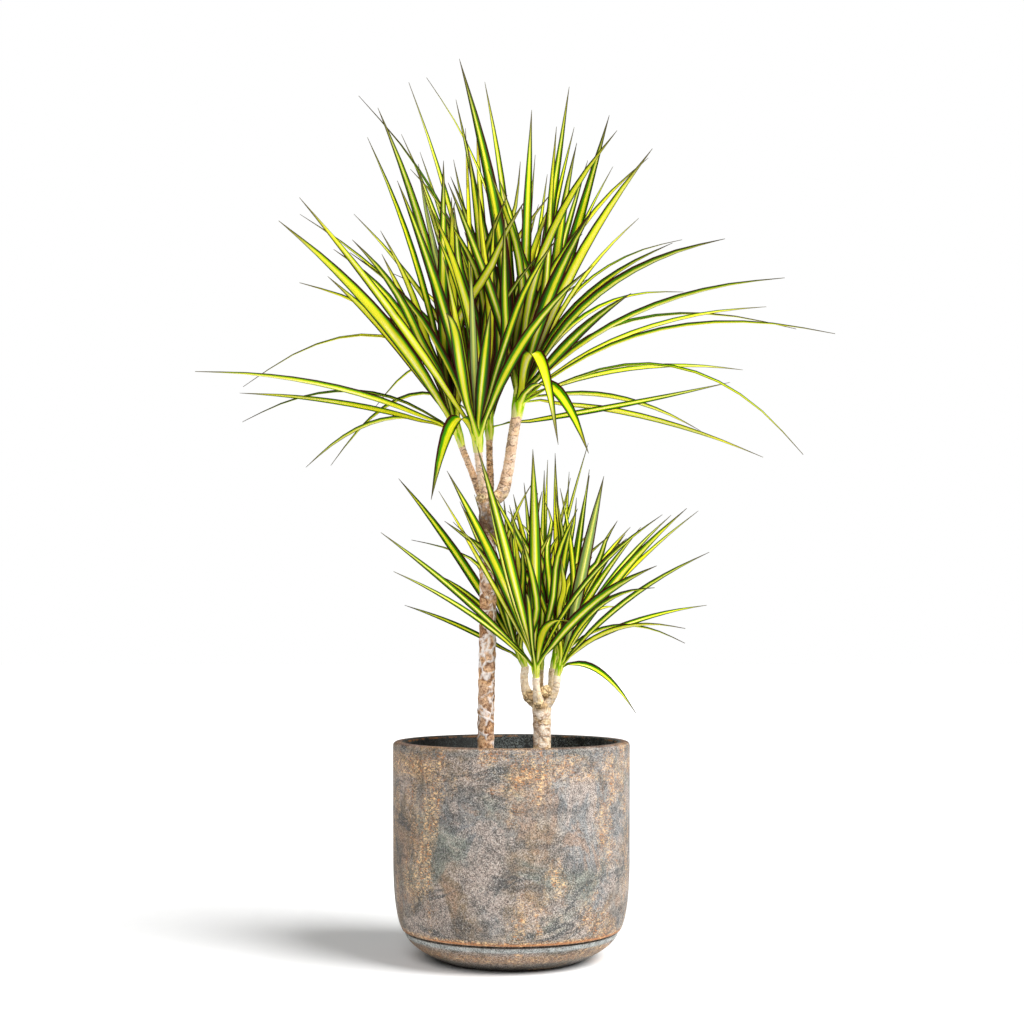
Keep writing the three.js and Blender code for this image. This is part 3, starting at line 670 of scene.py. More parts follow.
@dataclass(frozen=True)
class LeafFinish:
    """A striped leaf: yellow heart, green sides, maroon margins, pale foot and dark tip."""

    cream: str = "faf4a8"
    butter: str = "ece22c"
    yellow: str = "dcd408"
    acid: str = "b4c800"
    lime: str = "86b800"
    green: str = "367e00"
    deep: str = "103400"
    margin: str = "380f08"
    foot: str = "d4de34"
    foot_edge: str = "8ac400"
    foot_margin: str = "4f4a14"
    white_foot: str = "e9ea7c"
    stem: str = "efe0a0"
    olive: str = "4c5a0c"
    tip: str = "3c2c24"
    under: str = "bcc884"
    shadow: str = "050b00"

    def material(self) -> Material:
        """Builds the material.

        Returns:
            The leaf, patterned by the maps "blade" (across, along), "leaf" (its own number,
            1 on the underside) and "shade" (painted shade, deeper where the leaf is crowded in its head).
        """
        sh = Shader.new("striped_leaf")
        across, along, _ = sh.split(sh.chart("blade"))
        own, under, _ = sh.split(sh.chart("leaf"))
        crowd_shade, _, _ = sh.split(sh.chart("shade"))
        lean = sh.cloud(sh.join(own * 211.0, 3.0, along * 0.6), 1.0, 1.0, 0.5) - 0.5
        off = across * 2.0 - 1.0
        out = abs(off)
        streaks = sh.join(across * 30.0 + own * 61.0, along * 2.0, own * 17.0)
        streak = sh.cloud(streaks, 1.0, 3.0, 0.6)
        kind = sh.math("FRACT", own * 7.31)
        slow = sh.cloud(sh.join(own * 43.0, along * 2.5, own * 9.0), 1.0, 2.0, 0.5)
        stretch = 0.58 + kind * 0.80 + (slow - 0.5) * 0.5
        shifted = abs(off + lean * 0.5) * stretch + (streak - 0.5) * 0.10
        body = sh.ramp(shifted, [
            (0.0, self.butter), (0.20, self.butter), (0.28, self.yellow), (0.35, self.acid),
            (0.40, self.lime), (0.45, self.green), (0.62, self.green), (0.80, self.deep),
        ])
        heart = 1 - shifted.rise(0.30, 0.40)
        body = sh.mix((1 - shifted.rise(0.04, 0.24)) * slow.rise(0.38, 0.60) * 0.85, body, self.cream)
        body = sh.mix(streak.rise(0.54, 0.66) * heart * 0.45, body, self.lime)
        body = sh.mix(streak.rise(0.42, 0.34) * (1 - heart) * 0.4, body, self.lime)
        body = sh.mix(under * (0.03 + kind.rise(0.94, 0.96) * 0.45), body, self.under)
        # Painted shade on leaves crowded deep in their head.
        body = sh.mix(crowd_shade * 0.86, body, self.shadow)
        body = sh.mix(along.rise(0.45, 0.95) * (0.06 + slow.rise(0.40, 0.62) * 0.36), body, self.olive)
        body = sh.mix(out.rise(0.68, 0.82), body, self.margin)
        base = sh.ramp(out + (streak - 0.5) * 0.2, [
            (0.0, self.white_foot), (0.30, self.foot), (0.52, self.foot_edge), (0.80, self.foot_edge),
            (0.90, self.foot_margin),
        ])
        body = sh.mix((1 - along.rise(0.05, 0.17)) * 0.88, body, base)
        body = sh.mix((along - out * 0.035).rise(0.018, 0.004) * 0.75, body, self.stem)
        body = sh.mix(along.rise(0.84, 0.98) * 0.85, body, self.tip)
        rough = 0.52 + (streak - 0.5) * 0.25 + under * 0.12
        vein = sh.cloud(sh.join(across * 70.0, along * 1.5, own * 5.0), 1.0, 2.0, 0.5)
        return sh.finish({
            "Base Color": body, "Roughness": rough, "Normal": sh.bump(vein, 0.35, 0.25),
            "Specular IOR Level": 0.06,
        })


@dataclass(frozen=True)
class FloorFinish:
    """A seamless white studio floor."""

    white: str = "f4f4f4"
    shade: str = "f0f0f0"

    def material(self) -> Material:
        """Builds the material.

        Returns:
            The floor's material.
        """
        sh = Shader.new("studio_floor")
        grain = sh.cloud(sh.place(), 40.0, 2.0)
        body = sh.mix(grain.rise(0.3, 0.7) * 0.2, self.white, self.shade)
        return sh.finish({"Base Color": body, "Roughness": 0.9, "Specular IOR Level": 0.0})


# Working on meshes


def deselect_all() -> None:
    """Leaves nothing selected, in object mode."""
    if bpy.context.object and bpy.context.object.mode != "OBJECT":
        bpy.ops.object.mode_set(mode="OBJECT")
    bpy.ops.object.select_all(action="DESELECT")


def take(piece: Piece) -> None:
    """Makes a piece the only one selected, and the active one.

    Args:
        piece: The piece.
    """
    deselect_all()
    piece.select_set(True)
    bpy.context.view_layer.objects.active = piece


def name_new(name: str) -> Piece:
    """Names the primitive that was just added, and its mesh.

    Args:
        name: The name of both.

    Returns:
        The primitive.
    """
    piece = bpy.context.object
    piece.name = name
    piece.data.name = name
    return piece


def turn_profile(name: str, profile: Sequence[Pair], steps: int) -> Piece:
    """Draws a profile and spins it round the Z axis into a closed shell.

    Args:
        name: The new piece's name.
        profile: Radius and height of each point, in millimetres, from axis to axis.
        steps: How many steps the full turn takes.

    Returns:
        The turned piece.
    """
    deselect_all()
    bpy.ops.mesh.primitive_plane_add(size=MM, location=(0, 0, 0))
    piece = name_new(name)
    bpy.ops.object.mode_set(mode="EDIT")
    bpy.ops.mesh.merge(type="CENTER")
    radius, height = profile[0]
    bpy.ops.transform.translate(value=(radius * MM, 0, height * MM))
    for (r0, z0), (r1, z1) in zip(profile, profile[1:]):
        step = {"value": ((r1 - r0) * MM, 0, (z1 - z0) * MM)}
        bpy.ops.mesh.extrude_region_move(TRANSFORM_OT_translate=step)
    bpy.ops.mesh.select_all(action="SELECT")
    bpy.ops.mesh.spin(steps=steps, angle=math.tau, center=(0, 0, 0), axis=(0, 0, 1))
    bpy.ops.mesh.select_all(action="SELECT")
    bpy.ops.mesh.remove_doubles(threshold=0.01 * MM)
    bpy.ops.mesh.normals_make_consistent(inside=False)
    bpy.ops.object.mode_set(mode="OBJECT")
    return piece


def straight_bar(name: str, sides: int, rows: int) -> Piece:
    """Models an upright bar, 1 high and 1 in radius, with its wall cut into rows.

    Args:
        name: The new piece's name.
        sides: How many faces go round it.
        rows: How many rows of faces it has.

    Returns:
        The bar, without UV maps.
    """
    deselect_all()
    bpy.ops.mesh.primitive_cylinder_add(vertices=sides, radius=1, depth=1, end_fill_type="TRIFAN")
    piece = name_new(name)
    bpy.ops.object.mode_set(mode="EDIT")
    bpy.ops.mesh.select_mode(type="EDGE")
    bpy.ops.mesh.select_all(action="DESELECT")
    edit = bmesh.from_edit_mesh(piece.data)
    for edge in edit.edges:
        edge.select_set(abs(edge.verts[0].co.z - edge.verts[1].co.z) > 0.5)
    bmesh.update_edit_mesh(piece.data)
    bpy.ops.mesh.subdivide(number_cuts=rows - 1)
    bpy.ops.object.mode_set(mode="OBJECT")
    drop_charts(piece)
    return piece


def read_points(piece: Piece) -> Array:
    """Reads the points of a mesh.

    Args:
        piece: The piece.

    Returns:
        Rows of x, y, z in metres, in the mesh's order.
    """
    flat = np.empty(3 * len(piece.data.vertices))
    piece.data.vertices.foreach_get("co", flat)
    return flat.reshape(-1, 3)


def write_points(piece: Piece, points: Array) -> None:
    """Moves a mesh's points.

    Args:
        piece: The piece whose mesh changes.
        points: Rows of x, y, z in metres, in the mesh's order.
    """
    piece.data.vertices.foreach_set("co", points.ravel())
    piece.data.update()


def corner_vertices(piece: Piece) -> Array:
    """Lists the vertex that each face corner is on.

    Args:
        piece: The piece.

    Returns:
        The vertex's number for each corner.
    """
    corners = np.empty(len(piece.data.loops), dtype=np.int32)
    piece.data.loops.foreach_get("vertex_index", corners)
    return corners


def corner_faces(piece: Piece) -> Array:
    """Lists the face that each face corner belongs to.

    Args:
        piece: The piece.

    Returns:
        The face's number for each corner.
    """
    sizes = np.empty(len(piece.data.polygons), dtype=np.int32)
    piece.data.polygons.foreach_get("loop_total", sizes)
    return np.repeat(np.arange(len(sizes)), sizes)


def drop_charts(piece: Piece) -> None:
    """Removes a piece's UV maps."""
    while len(piece.data.uv_layers):
        piece.data.uv_layers.remove(piece.data.uv_layers[0])


def write_chart(piece: Piece, name: str, places: Array) -> None:
    """Writes a UV map, adding it if the piece has none of that name.

    Args:
        piece: The piece to map.
        name: The map's name.
        places: A row of two numbers for each face corner.
    """
    charts = piece.data.uv_layers
    chart = charts.get(name) or charts.new(name=name)
    chart.data.foreach_set("uv", places.astype(np.float32).ravel())


def apply_modifier(piece: Piece, kind: str, **settings: object) -> None:
    """Adds a modifier to a piece and applies it.

    Args:
        piece: The piece that changes.
        kind: The modifier's type.
        **settings: The modifier's properties.
    """
    take(piece)
    modifier = piece.modifiers.new(kind.title(), kind)
    for name, value in settings.items():
        setattr(modifier, name, value)
    bpy.ops.object.modifier_apply(modifier=modifier.name)


def join_pieces(first: Piece, others: Sequence[Piece]) -> Piece:
    """Joins pieces into the first one's mesh.

    Args:
        first: The piece that stays.
        others: The pieces that it takes in.

    Returns:
        The first piece.
    """
    take(first)
    for other in others:
        other.select_set(True)
    bpy.ops.object.join()
    return first


def copy_piece(piece: Piece, name: str) -> Piece:
    """Copies a piece, with a mesh of its own.

    Args:
        piece: The piece.
        name: The copy's name.

    Returns:
        The copy.
    """
    twin = bpy.data.objects.new(name, piece.data.copy())
    bpy.context.scene.collection.objects.link(twin)
    return twin


def smooth_faces(piece: Piece, degrees: float) -> None:
    """Shades a piece smoothly, save across edges sharper than an angle."""
    take(piece)
    bpy.ops.object.shade_smooth_by_angle(angle=math.radians(degrees))


def dress(piece: Piece, material: Material, slot: Slot, node: str) -> None:
    """Gives a piece its finish and its place in the frame.

    Args:
        piece: The finished piece.
        material: Its material.
        slot: Not used.
        node: The node of the solids that it stands for.
    """
    piece.data.materials.clear()
    piece.data.materials.append(material)
    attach(piece, BODY)
    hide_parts(node)
    LOG.info("%s: %d faces", piece.name, len(piece.data.polygons))


# Curves and directions


def unit(vectors: Array) -> Array:
    """Scales vectors, in the last axis, to a length of 1."""
    return vectors / np.maximum(np.linalg.norm(vectors, axis=-1, keepdims=True), 1e-12)


def dot(first: Array, second: Array) -> Array:
    """Multiplies vectors, in the last axis, into numbers that keep that axis."""
    return np.sum(first * second, axis=-1, keepdims=True)


def curve_through(knots: Array, rows: Array, at: Array) -> Array:
    """Reads a smooth curve that passes through rows of numbers.

    Args:
        knots: The place of each row on the curve, rising.
        rows: One row of numbers for each knot.
        at: The places to read.

    Returns:
        One row for each place.
    """
    slopes = np.gradient(rows, knots, axis=0)
    span = np.clip(np.searchsorted(knots, at, side="right") - 1, 0, len(knots) - 2)
    width = (knots[span + 1] - knots[span])[:, None]
    t = (at[:, None] - knots[span][:, None]) / width
    start = (1 + 2 * t) * (1 - t) ** 2 * rows[span] + t * (1 - t) ** 2 * width * slopes[span]
    end = t ** 2 * (3 - 2 * t) * rows[span + 1] - t ** 2 * (1 - t) * width * slopes[span + 1]
    return start + end


def smooth_step(values: Array, low: float, high: float) -> Array:
    """Rises smoothly from 0 at one value to 1 at another."""
    t = np.clip((values - low) / (high - low), 0.0, 1.0)
    return t * t * (3 - 2 * t)


# The plant's layout


@dataclass(frozen=True)
class Lead:
    """A leading leaf: its tip, how far it arches, its width and where the arch peaks."""

    x: float
    y: float
    z: float
    arch: float
    width: float
    peak: float = 0.45


@dataclass(frozen=True)
class Head:
    """One head of leaves, on a slim shoot at the end of a branch."""

    name: str
    foot: tuple[float, float, float]
    lean: Pair
    radius: float
    height: float
    fill: int
    length: float
    facing: float
    seed: int
    leading: tuple[Lead, ...]

    @property
    def axis(self) -> Array:
        """The way that the shoot points."""
        return unit(np.array((self.lean[0], self.lean[1], 1.0)))

    def girth(self, height: Array | float) -> Array | float:
        """Returns the shoot's radius at a height above its foot."""
        shares = (0.0, 0.25, 0.6, 1.0)
        return self.radius * np.interp(np.asarray(height) / self.height, shares, (0.66, 0.80, 0.74, 0.3))


@dataclass(frozen=True)
class Limb:
    """A trunk or a branch: a route of [x, y, z, radius], and how pale, brown and ringed it is; paleness is
    partly painted light and brownness partly painted shade.
    """

    route: tuple[tuple[float, float, float, float], ...]
    pale: float
    brown: float
    ringed: float = 1.0


@dataclass(frozen=True)
class Knob:
    """A woody lump at a fork: where it is and its radius."""

    place: tuple[float, float, float]
    radius: float


@dataclass(frozen=True)
class Cane:
    """A cane: the trunk, a branch for each head, and the lumps of its fork."""

    name: str
    trunk: Limb
    branches: dict[str, Limb]
    knobs: tuple[Knob, ...]


def leads(*rows: tuple[float, ...]) -> tuple[Lead, ...]:
    """Makes leading leaves from rows of numbers."""
    return tuple(Lead(*row) for row in rows)


HEADS = (
    Head("tall_head_left", (-51, 4, 516), (-0.25, 0.05), 5.5, 46, 13, 270, 190, 11, leads(
        (-135, -30, 860, 18, 13), (-150, 40, 855, 14, 8), (-65, -30, 805, -12, 13),
        (-220, -150, 715, 18, 15), (-185, -40, 685, 10, 12), (-145, 130, 750, 6, 11),
        (-315, -60, 585, 17, 8), (-295, 90, 585, 9, 7), (-300, 140, 560, 40, 6),
        (-230, 150, 510, 34, 7))),
    Head("tall_head_front", (-34, -14, 509), (-0.05, -0.2), 7.5, 46, 14, 260, 265, 12, leads(
        (-100, 40, 830, 12, 8), (-45, 80, 870, 4, 7), (-205, -120, 745, 7, 10),
        (-79, -70, 456, 46, 20), (-20, -130, 635, 10, 14), (75, -160, 670, 23, 13),
        (-105, -60, 775, 10, 13), (-40, -100, 685, 4, 9), (-65, -80, 695, 4, 9))),
    Head("tall_head_back", (-23, 16, 524), (0, 0.2), 5.5, 46, 13, 290, 100, 13, leads(
        (-110, 60, 920, 13, 8), (-165, 30, 890, 38, 12), (-120, 100, 875, 14, 8),
        (-100, 130, 865, 12, 7), (-65, 50, 840, 6, 9), (-40, 70, 880, 2, 12),
        (-230, 80, 780, 24, 6), (-175, 120, 790, 16, 7), (-295, 110, 595, 78, 7),
        (-200, 130, 510, 56, 7), (-155, 170, 580, 60, 9), (230, 40, 590, -2, 7))),
    Head("tall_head_right", (5, 0, 546), (0.12, 0), 8.5, 50, 11, 290, 20, 14, leads(
        (-50, -40, 905, 12, 16), (-25, 60, 915, 14, 9), (20, 40, 875, 5, 12),
        (60, 50, 910, 0, 11), (95, 10, 870, 0, 14), (140, -20, 820, 15, 13),
        (115, 150, 855, 12, 7), (70, 90, 885, 6, 9), (75, 70, 840, 6, 10),
        (80, -110, 735, 16, 16), (-95, 90, 930, 34, 6), (-60, 30, 890, 2, 9),
        (30, 120, 865, 3, 6), (40, 160, 850, 6, 8), (205, -120, 705, 38, 12),
        (190, 120, 765, 42, 7), (135, 80, 775, 17, 6), (160, -60, 715, 27, 9),
        (110, -140, 650, 12, 12), (270, -80, 675, 31, 9), (305, 60, 650, 52, 9, 0.38),
        (270, 40, 670, 24, 8), (325, -50, 625, 42, 8), (260, 150, 620, 18, 7),
        (295, -30, 505, 66, 8, 0.58), (215, 180, 555, 22, 7), (275, 100, 515, 14, 7),
        (52, -110, 503, 68, 17), (70, -140, 495, 40, 16), (-65, -90, 765, 6, 11))),
    Head("short_head_left", (14, 3, 289), (-0.3, 0.05), 5, 34, 9, 175, 175, 21, leads(
        (-115, 60, 490, 8, 11), (-115, 90, 355, 5, 6), (-85, 60, 390, 12, 7),
        (-55, 50, 465, 5, 8), (-40, 40, 470, 4, 8), (-5, 20, 465, 3, 8))),
    Head("short_head_front", (25, -12, 279), (-0.05, -0.25), 5, 34, 8, 180, 265, 22, leads(
        (-130, -50, 425, 5, 8), (-115, -80, 385, 9, 6), (-70, -30, 470, 3, 6),
        (-60, -70, 485, 6, 13), (-30, -90, 505, 4, 12), (-25, -50, 465, -5, 6),
        (20, -60, 505, -3, 14), (145, -90, 440, 17, 7), (135, -120, 390, 15, 12),
        (60, -90, 335, 22, 11))),
    Head("short_head_back", (30, 17, 285), (0, 0.3), 4.6, 32, 8, 180, 95, 23, leads(
        (15, 60, 485, 3, 8), (20, 40, 480, 2, 8), (35, 70, 500, 2, 8),
        (40, 100, 515, 2, 6), (65, 50, 490, 3, 7), (85, 10, 520, 3, 5),
        (90, 150, 410, 6, 7))),
    Head("short_head_right_back", (42, 7, 287), (0.2, 0.15), 4.8, 34, 8, 175, 40, 24, leads(
        (45, 50, 515, -3, 9), (60, 90, 500, 2, 6), (75, 20, 490, 3, 9),
        (130, 100, 440, 12, 9), (120, 60, 430, 6, 9), (135, 30, 435, 5, 8),
        (195, 40, 455, 10, 6), (210, 90, 355, 10, 7), (175, -20, 315, 27, 6))),
    Head("short_head_right_front", (46, -9, 281), (0.25, -0.15), 4.8, 34, 8, 175, 325, 25, leads(
        (-30, -60, 480, 8, 7), (90, -50, 480, 2, 14), (75, 30, 495, 3, 7),
        (170, 70, 450, 12, 7), (175, -40, 450, 10, 11), (195, -60, 405, 12, 7),
        (170, -70, 330, 20, 7), (125, -20, 245, 19, 9))),
)

# Branches at the front are paler and those at the back browner: painted light and shade.
CANES = (
    Cane(
        "tall_cane",
        Limb(((-26, 0, 107, 8.6), (-26, 0, 230, 8.6), (-24, 0, 350, 8.6), (-24.5, 0, 430, 8.6),
              (-25, 0, 462, 9)), 0.0, 0.0, 0.0),
        {
            "tall_head_left": Limb(((-26, 0, 452, 5), (-34, 1, 474, 4.3), (-43, 3, 496, 3.4)), 0.25, 0.1),
            "tall_head_front": Limb(((-26, -2, 452, 5), (-29, -7, 476, 4.6), (-32, -11, 492, 4.2)), 0.8, 0.0),
            "tall_head_back": Limb(((-24, 3, 452, 5), (-22, 9, 478, 4), (-22.5, 13, 502, 3.4)), 0.0, 0.7),
            "tall_head_right": Limb(((-22, 0, 458, 6.5), (-10.5, 0, 468, 6.8), (-4.5, 0, 487, 6),
                                     (0, 0, 516, 5.6)), 0.6, 0.0),
        },
        (Knob((-17, -4, 463), 6.4), Knob((-30, -5, 463), 5.6), Knob((-24, 6, 464), 5.4)),
    ),
    Cane(
        "short_cane",
        Limb(((31, 0, 107, 9.3), (31, 0, 200, 9.3), (31, 0, 240, 9.3), (31, 0, 254, 10)), 0.3, 0.0, 0.3),
        {
            "short_head_left": Limb(((28, 0, 250, 5.4), (17.5, 2, 262, 5.8), (13.5, 3, 273, 4.2)), 0.5, 0.1),
            "short_head_front": Limb(((30, -2, 248, 5.4), (27, -9, 259, 5.4), (25.5, -11, 267, 4)), 0.8, 0.0),
            "short_head_back": Limb(((31, 3, 247, 4.6), (30.5, 12, 259, 4.6), (30, 15, 270, 3.2)), 0.2, 0.3),
            "short_head_right_back": Limb(((33, 1, 249, 5), (40.5, 4, 262, 5),
                                           (41.5, 6, 273, 4.2)), 0.4, 0.1),
            "short_head_right_front": Limb(((33, -2, 248, 5), (40.5, -5, 260, 5.2),
                                            (45, -8, 269, 3.8)), 0.7, 0.0),
        },
        (Knob((18.5, -3, 261), 6.4), Knob((35, -7, 266), 6.2), Knob((28, -9, 254), 5.2),
         Knob((38, 4, 256), 5.0)),
    ),
)


@dataclass(frozen=True)
class Growth:
    """The rule by which leaves grow and are bent clear, the same as that of the solids.

    Angles are in degrees. An outline holds the share of the full width at each station, and
    a station is a share of the leaf's length.
    """

    stations: tuple[float, ...] = (0.0, 0.15, 0.4, 0.65, 0.85, 1.0)
    outline: tuple[float, ...] = (0.45, 0.7, 1.0, 0.8, 0.42, 0.0)
    root_offset: float = 0.6
    lowest_root: float = 0.28
    highest_root: float = 0.9
    keel_at_root: float = 2.2
    keel_at_tip: float = 1.2
    oldest_rise: float = 34.0
    rise_gain: float = 46.0
    rise_spread: float = 10.0
    shortest: float = 0.82
    length_spread: float = 0.26
    usual_length: float = 290.0
    narrowest: float = 9.0
    width_spread: float = 4.0
    squash: float = 0.55
    flat_arch: float = 45.0
    least_turn: float = 0.25
    most_turn: float = 0.85
    passes: int = 160
    margin: float = 0.45
    settled: float = 0.1
    strength_within: float = 0.25
    strength_between: float = 0.6
    strength_limb: float = 0.8
    leading_share: float = 0.25
    leading_give: tuple[float, float, float] = (0.2, 1.5, 0.2)
    held_share: float = 0.12
    most_swing: float = 1.6
    scar_relief: float = 0.45


@dataclass
class Leaf:
    """One laid-out leaf: its midrib, the way its edges point, and where it clasps the shoot."""

    head: Head
    points: Array
    edges: Array
    crowd_shade: Array
    width: float
    root_height: float
    outward: Array
    number: float


def random_values(seed: int) -> Iterator[float]:
    """Yields repeatable random numbers from 0 to 1.

    Args:
        seed: A whole number that names the sequence.

    Yields:
        The next number.
    """
    state = seed * 7919 + 1
    while True:
        state = (state * 48271) % 2147483647
        yield state / 2147483647


class LeafPlan:
    """Lays out every leaf and bends them clear of each other and of the canes."""

    def __init__(self, heads: Sequence[Head], canes: Sequence[Cane], growth: Growth) -> None:
        """Lays out the leaves.

        Args:
            heads: The heads, which carry the leaves.
            canes: The canes, which the leaves keep clear of.
            growth: The rule to follow.
        """
        self.heads = heads
        self.growth = growth
        self.stations = np.array(growth.stations)
        self.keel = growth.keel_at_root + (growth.keel_at_tip - growth.keel_at_root) * self.stations
        self.owner: list[int] = []
        self.is_leading: list[bool] = []
        self.widths: list[float] = []
        self.roots: list[float] = []
        self.outwards: list[Array] = []
        midribs: list[Array] = []
        wanted_edges: list[Array] = []
        for number, head in enumerate(heads):
            for midrib, edge in self.plot_head(number, head):
                midribs.append(midrib)
                wanted_edges.append(edge)
        self.points = np.array(midribs)
        self.edge = np.array(wanted_edges)
        self.half = 0.5 * np.array(self.widths)[:, None] * np.array(growth.outline)
        self.limbs = self.list_limbs(canes)
        self.edges = self.points
        self.faces = self.points
        self.bend_clear()
        self.crowd_shade = self.crowding()

    def spiral(self, head: Head) -> list[tuple[Array, float, float, float]]:
        """Lists the further leaves that a head's golden-angle spiral adds.

        Args:
            head: The head.

        Returns:
            Tip, arch, width and peak of each leaf, from the oldest to the youngest.
        """
        grow = self.growth
        values = random_values(head.seed)
        favoured = math.radians(head.facing)
        added = []
        for k in range(head.fill):
            age = k / (head.fill - 1)
            around = favoured + k * GOLDEN_ANGLE
            rise = math.radians(grow.oldest_rise + grow.rise_gain * age ** 0.8
                                + grow.rise_spread * (next(values) - 0.5))
            length = head.length * (grow.shortest + grow.length_spread * next(values))
            out = math.cos(rise)
            reach = unit(np.array((
                grow.squash * out * (math.cos(around) + 0.5 * math.cos(favoured)),
                out * (math.sin(around) + 0.3 * math.sin(favoured)),
                math.sin(rise),
            )))
            width = (head.length / grow.usual_length) ** 0.5 \
                * (grow.narrowest + grow.width_spread * next(values))
            arch = length * (0.05 + 0.1 * (1 - age))
            added.append((np.array(head.foot) + reach * length, arch, width, 0.45))
        return added

    def plot_head(self, number: int, head: Head) -> Iterator[tuple[Array, Array]]:
        """Lays out a head's leaves, with the lowest tips on the lowest roots.

        Args:
            number: The head's place in the list.
            head: The head.

        Yields:
            The midrib of a leaf and the way that its edges point.
        """
        foot = np.array(head.foot, dtype=float)
        rows = [(np.array((lead.x, lead.y, lead.z), dtype=float), lead.arch, lead.width, lead.peak, True)
                for lead in head.leading]
        rows += [(*row, False) for row in self.spiral(head)]
        rows.sort(key=lambda row: unit(row[0] - foot)[2])
        for rank, (tip, arch, width, peak, is_leading) in enumerate(rows):
            low, high = self.growth.lowest_root, self.growth.highest_root
            share = low + (high - low) * rank / (len(rows) - 1)
            outward = unit((tip - foot) * (1, 1, 0))
            self.owner.append(number)
            self.is_leading.append(is_leading)
            self.widths.append(width)
            self.roots.append(head.height * share)
            self.outwards.append(outward)
            root = foot + head.axis * head.height * share + outward * self.growth.root_offset * head.radius
            yield self.plot_leaf(root, tip, arch, peak)

    def plot_leaf(self, root: Array, tip: Array, arch: float, peak: float) -> tuple[Array, Array]:
        """Plots one arching midrib.

        Args:
            root: Where it starts.
            tip: Where it ends.
            arch: How far it rises above the straight line.
            peak: The share of its length at which it rises most.

        Returns:
            The points of the midrib and the way that the edges point.
        """
        grow = self.growth
        chord = tip - root
        along = unit(chord)
        rising = unit(UP - along * max(0.0, along[2]))
        control = root + chord * peak + rising * 2 * arch
        t = self.stations[:, None]
        midrib = (1 - t) ** 2 * root + 2 * t * (1 - t) * control + t ** 2 * tip
        level = unit(np.cross(along, rising))
        face = np.cross(level, along)
        wanted = unit(TOWARDS_VIEWER - along * along.dot(TOWARDS_VIEWER))
        if wanted.dot(face) < 0:
            wanted = -wanted
        full_turn = math.atan2(np.cross(face, wanted).dot(along), face.dot(wanted))
        turn = full_turn * min(max(1 - abs(arch) / grow.flat_arch, grow.least_turn), grow.most_turn)
        edge = level * math.cos(turn) + np.cross(along, level) * math.sin(turn) \
            + along * along.dot(level) * (1 - math.cos(turn))
        return midrib, edge

    def list_limbs(self, canes: Sequence[Cane]) -> dict[str, Array]:
        """Lists the round limbs that leaves keep clear of.

        Args:
            canes: The canes.

        Returns:
            Both ends, the radius and the owning head's number (-1 for none) of each limb.
        """
        numbers = {head.name: number for number, head in enumerate(self.heads)}
        starts, ends, radii, owners = [], [], [], []

        def add_route(route: Sequence[Sequence[float]], owner: int) -> None:
            """Adds each stretch of a route.

            Args:
                route: The route of [x, y, z, radius].
                owner: The number of the head that it carries, or -1.
            """
            for low, high in zip(route, route[1:]):
                starts.append(low[:3])
                ends.append(high[:3])
                radii.append(max(low[3], high[3]) + self.growth.scar_relief)
                owners.append(owner)

        for cane in canes:
            add_route(cane.trunk.route, -1)
            for name, limb in cane.branches.items():
                head = self.heads[numbers[name]]
                add_route((*limb.route, (*head.foot, limb.route[-1][3])), numbers[name])
        for number, head in enumerate(self.heads):
            starts.append(head.foot)
            ends.append(tuple(np.array(head.foot) + head.axis * head.height))
            radii.append(head.radius)
            owners.append(number)
        return {"start": np.array(starts, float), "end": np.array(ends, float),
                "radius": np.array(radii), "owner": np.array(owners)}

    def frame_leaves(self) -> None:
        """Gives every leaf its edge and face directions at each point of its midrib."""
        ahead = np.concatenate((self.points[:, 1:], self.points[:, -1:]), axis=1)
        behind = np.concatenate((self.points[:, :1], self.points[:, :-1]), axis=1)
        along = unit(ahead - behind)
        wanted = self.edge[:, None, :]
        self.edges = unit(wanted - along * dot(along, wanted))
        self.faces = np.cross(self.edges, along)

    def reach(self, leaf: Array, segment: Array, way: Array) -> Array:
        """Works out how far blades reach in a direction over one of their segments.

        Args:
            leaf: The number of each leaf.
            segment: The segment of each leaf.
            way: The direction for each leaf.

        Returns:
            The reach of each, in millimetres.
        """
        reaches = []
        for end in (segment, segment + 1):
            side = self.half[leaf, end] * np.abs(np.sum(self.edges[leaf, end] * way, axis=-1))
            keel = self.keel[end] * np.abs(np.sum(self.faces[leaf, end] * way, axis=-1))
            reaches.append(side + keel)
        return np.maximum(reaches[0], reaches[1])

    @staticmethod
    def approach(a0: Array, a1: Array, b0: Array, b1: Array) -> tuple[Array, Array, Array, Array]:
        """Finds the nearest points of pairs of segments.

        Args:
            a0: Where each first segment starts.
            a1: Where it ends.
            b0: Where each second segment starts.
            b1: Where it ends.

        Returns:
            The shares along both, their distance and the direction from second to first.
        """
        first = a1 - a0
        second = b1 - b0
        offset = a0 - b0
        first_squared = np.sum(first * first, axis=-1)
        second_squared = np.sum(second * second, axis=-1)
        both = np.sum(first * second, axis=-1)
        first_offset = np.sum(first * offset, axis=-1)
        second_offset = np.sum(second * offset, axis=-1)
        spread = first_squared * second_squared - both * both
        aslant = spread > 1e-9
        nearest = (both * second_offset - first_offset * second_squared) / np.where(aslant, spread, 1.0)
        share = np.where(aslant, np.clip(nearest, 0, 1), 0.5)
        other = np.clip((both * share + second_offset) / second_squared, 0, 1)
        share = np.clip((both * other - first_offset) / first_squared, 0, 1)
        away = offset + first * share[:, None] - second * other[:, None]
        return share, other, np.linalg.norm(away, axis=-1), unit(away)

    def swing(self, bend: Array, leaf: Array, share: Array, push: Array) -> None:
        """Adds pushes to the leaves' pending bends.

        Args:
            bend: The pending bends, which change.
            leaf: The leaf that each push moves.
            share: Where along the leaf it pushes.
            push: How far, as vectors.
        """
        leading = np.array(self.is_leading)[leaf][:, None]
        push = np.where(leading, push * np.array(self.growth.leading_give), push)
        held = np.maximum(share, self.growth.held_share)[:, None]
        swings = np.minimum((self.stations[None, 1:] / held) ** 1.5, self.growth.most_swing)
        np.add.at(bend[:, 1:], leaf, push[:, None, :] * swings[:, :, None])

